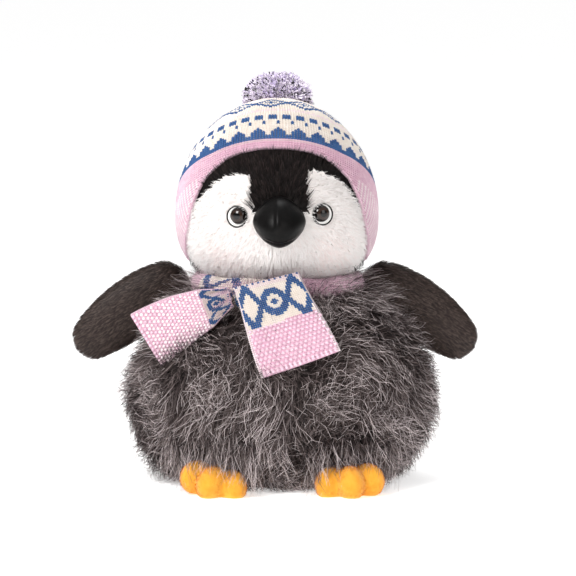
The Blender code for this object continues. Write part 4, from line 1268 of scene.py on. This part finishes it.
def mesh_arrays(mesh):
    """(points, triangles) of a mesh."""
    points = np.empty(len(mesh.vertices) * 3, np.float32)
    mesh.vertices.foreach_get("co", points)
    mesh.calc_loop_triangles()
    faces = np.empty(len(mesh.loop_triangles) * 3, np.int32)
    mesh.loop_triangles.foreach_get("vertices", faces)
    return points.reshape(-1, 3).astype(float), faces.reshape(-1, 3)


def make_foot(side):
    rng = np.random.default_rng(53 + SIDES[side])
    directions, faces = BALL_5
    points, triangles = [], []
    for i, matrix in enumerate(foot_balls(side)):
        world = np.array(matrix)
        points.append(directions @ world[:3, :3].T + world[:3, 3])
        triangles.append(faces + i * len(directions))
    skin = new_piece("foot_skin_" + side, np.concatenate(points), np.concatenate(triangles), [ORANGE_FELT])
    remesh = skin.modifiers.new("one surface", "REMESH")
    remesh.mode = "VOXEL"
    remesh.voxel_size = 1.5 * MM
    rounded = skin.modifiers.new("soft creases", "SMOOTH")
    rounded.iterations = 10
    mesh = evaluated_mesh(skin)
    points, triangles = mesh_arrays(mesh)
    points[:, 2] = np.maximum(points[:, 2], SOLE_Z)
    mesh.vertices.foreach_set("co", points.astype(np.float32).ravel())
    mesh.update()
    mesh.shade_smooth()
    if not mesh.materials:
        mesh.materials.append(ORANGE_FELT)
    nodes = [f"foot_{side}_{part}" for part in ("upper", "sole", "stuffing")]
    on_body(skin, "foot_" + side, nodes)

    roots, normals = scatter(points, triangles, 15000, rng, lambda p: p[:, 2] > 1.5 * MM)
    forward = comb(normals, np.array([0, -1.0, -0.2]))
    leads = unit(normals * 0.6 + forward * 0.6 + 0.3 * rng.normal(size=roots.shape))
    grow(
        "foot_fur_" + side, "foot_" + side, "orange_felt", FOOT_FUR, (roots, normals), leads, (0.6, 1.1),
        (0.22, 0.36), rng, 1, softness=0.6, loose=0.15,
    )


# ---------------------------------------------------------------- the rest

def finish_inner_pieces():
    """The washers stay as modelled, in nylon."""
    nylon = mottled_material("nylon", (0.62, 0.61, 0.58), (0.70, 0.69, 0.66), 200, 0.45, bump=0.1)
    for side in SIDES:
        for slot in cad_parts["eye_washer_" + side].material_slots:
            slot.material = nylon


def area_light(name, place, target, power, size, colour=(1, 1, 1)):
    light = bpy.data.lights.new(name, "AREA")
    light.energy = power
    light.size = size
    light.color = colour
    lamp = bpy.data.objects.new(name, light)
    lamp.location = place
    lamp.rotation_euler = (Vector(target) - Vector(place)).to_track_quat("-Z", "Y").to_euler()
    bpy.context.scene.collection.objects.link(lamp)


def make_stage():
    """A wide, plain, pale floor."""
    reach = 14.0
    points = np.array([(-1, -1, 0), (1, -1, 0), (1, 1, 0), (-1, 1, 0)]) * reach
    pale = shader("pale_floor", grey(0.93), 0.9, Emission_Color=(1, 1, 1, 1), Emission_Strength=0.58)[0]
    new_piece("floor", points, np.array([[0, 1, 2, 3]]), [pale])


def make_light():
    world = bpy.data.worlds.new("soft white")
    world.use_nodes = True
    nodes, links = world.node_tree.nodes, world.node_tree.links
    place = nodes.new("ShaderNodeTexCoord")
    parts = nodes.new("ShaderNodeSeparateXYZ")
    # White up to just above the horizon, so that the floor's far edge doesn't show, then a soft sky
    shades = ((0.05, 1), (0.09, 0.10), (0.30, 0.11), (0.65, 0.50), (1, 0.60))
    sky = ramp(nodes, [(height, grey(shade)) for height, shade in shades])
    links.new(place.outputs["Generated"], parts.inputs["Vector"])
    links.new(parts.outputs["Z"], sky.inputs["Fac"])
    links.new(sky.outputs["Color"], nodes["Background"].inputs["Color"])
    nodes["Background"].inputs["Strength"].default_value = 1.0
    bpy.context.scene.world = world
    target = (0, 0, 0.15)
    area_light("key", (-0.95, -1.2, 1.35), target, 34, 0.75, (1, 0.985, 0.97))
    area_light("fill", (1.3, -1.3, 0.8), target, 7, 1.0, (1, 0.96, 0.94))
    area_light("top", (0.1, 0.7, 1.5), target, 10, 1.0)
    bpy.context.scene.view_settings.view_transform = "Standard"
    bpy.context.scene.view_settings.look = "None"


def make_camera():
    """Nearly level with the toy and straight in front of it."""
    distance, elevation, view_width = 3.5, math.radians(6.5), 0.417
    target = Vector((5 * MM, -10 * MM, 139 * MM))
    data = bpy.data.cameras.new("camera")
    data.lens = data.sensor_width * distance / view_width
    camera = bpy.data.objects.new("camera", data)
    camera.location = target + Vector((0, -math.cos(elevation), math.sin(elevation))) * distance
    camera.rotation_euler = (target - camera.location).to_track_quat("-Z", "Y").to_euler()
    bpy.context.scene.collection.objects.link(camera)
    bpy.context.scene.camera = camera


make_camera()
make_body()
make_head()
make_eyes()
make_beak()
make_hat()
make_pompom()
make_scarf()
for each_side in SIDES:
    make_wing(each_side)
    make_foot(each_side)
finish_inner_pieces()
make_stage()
make_light()
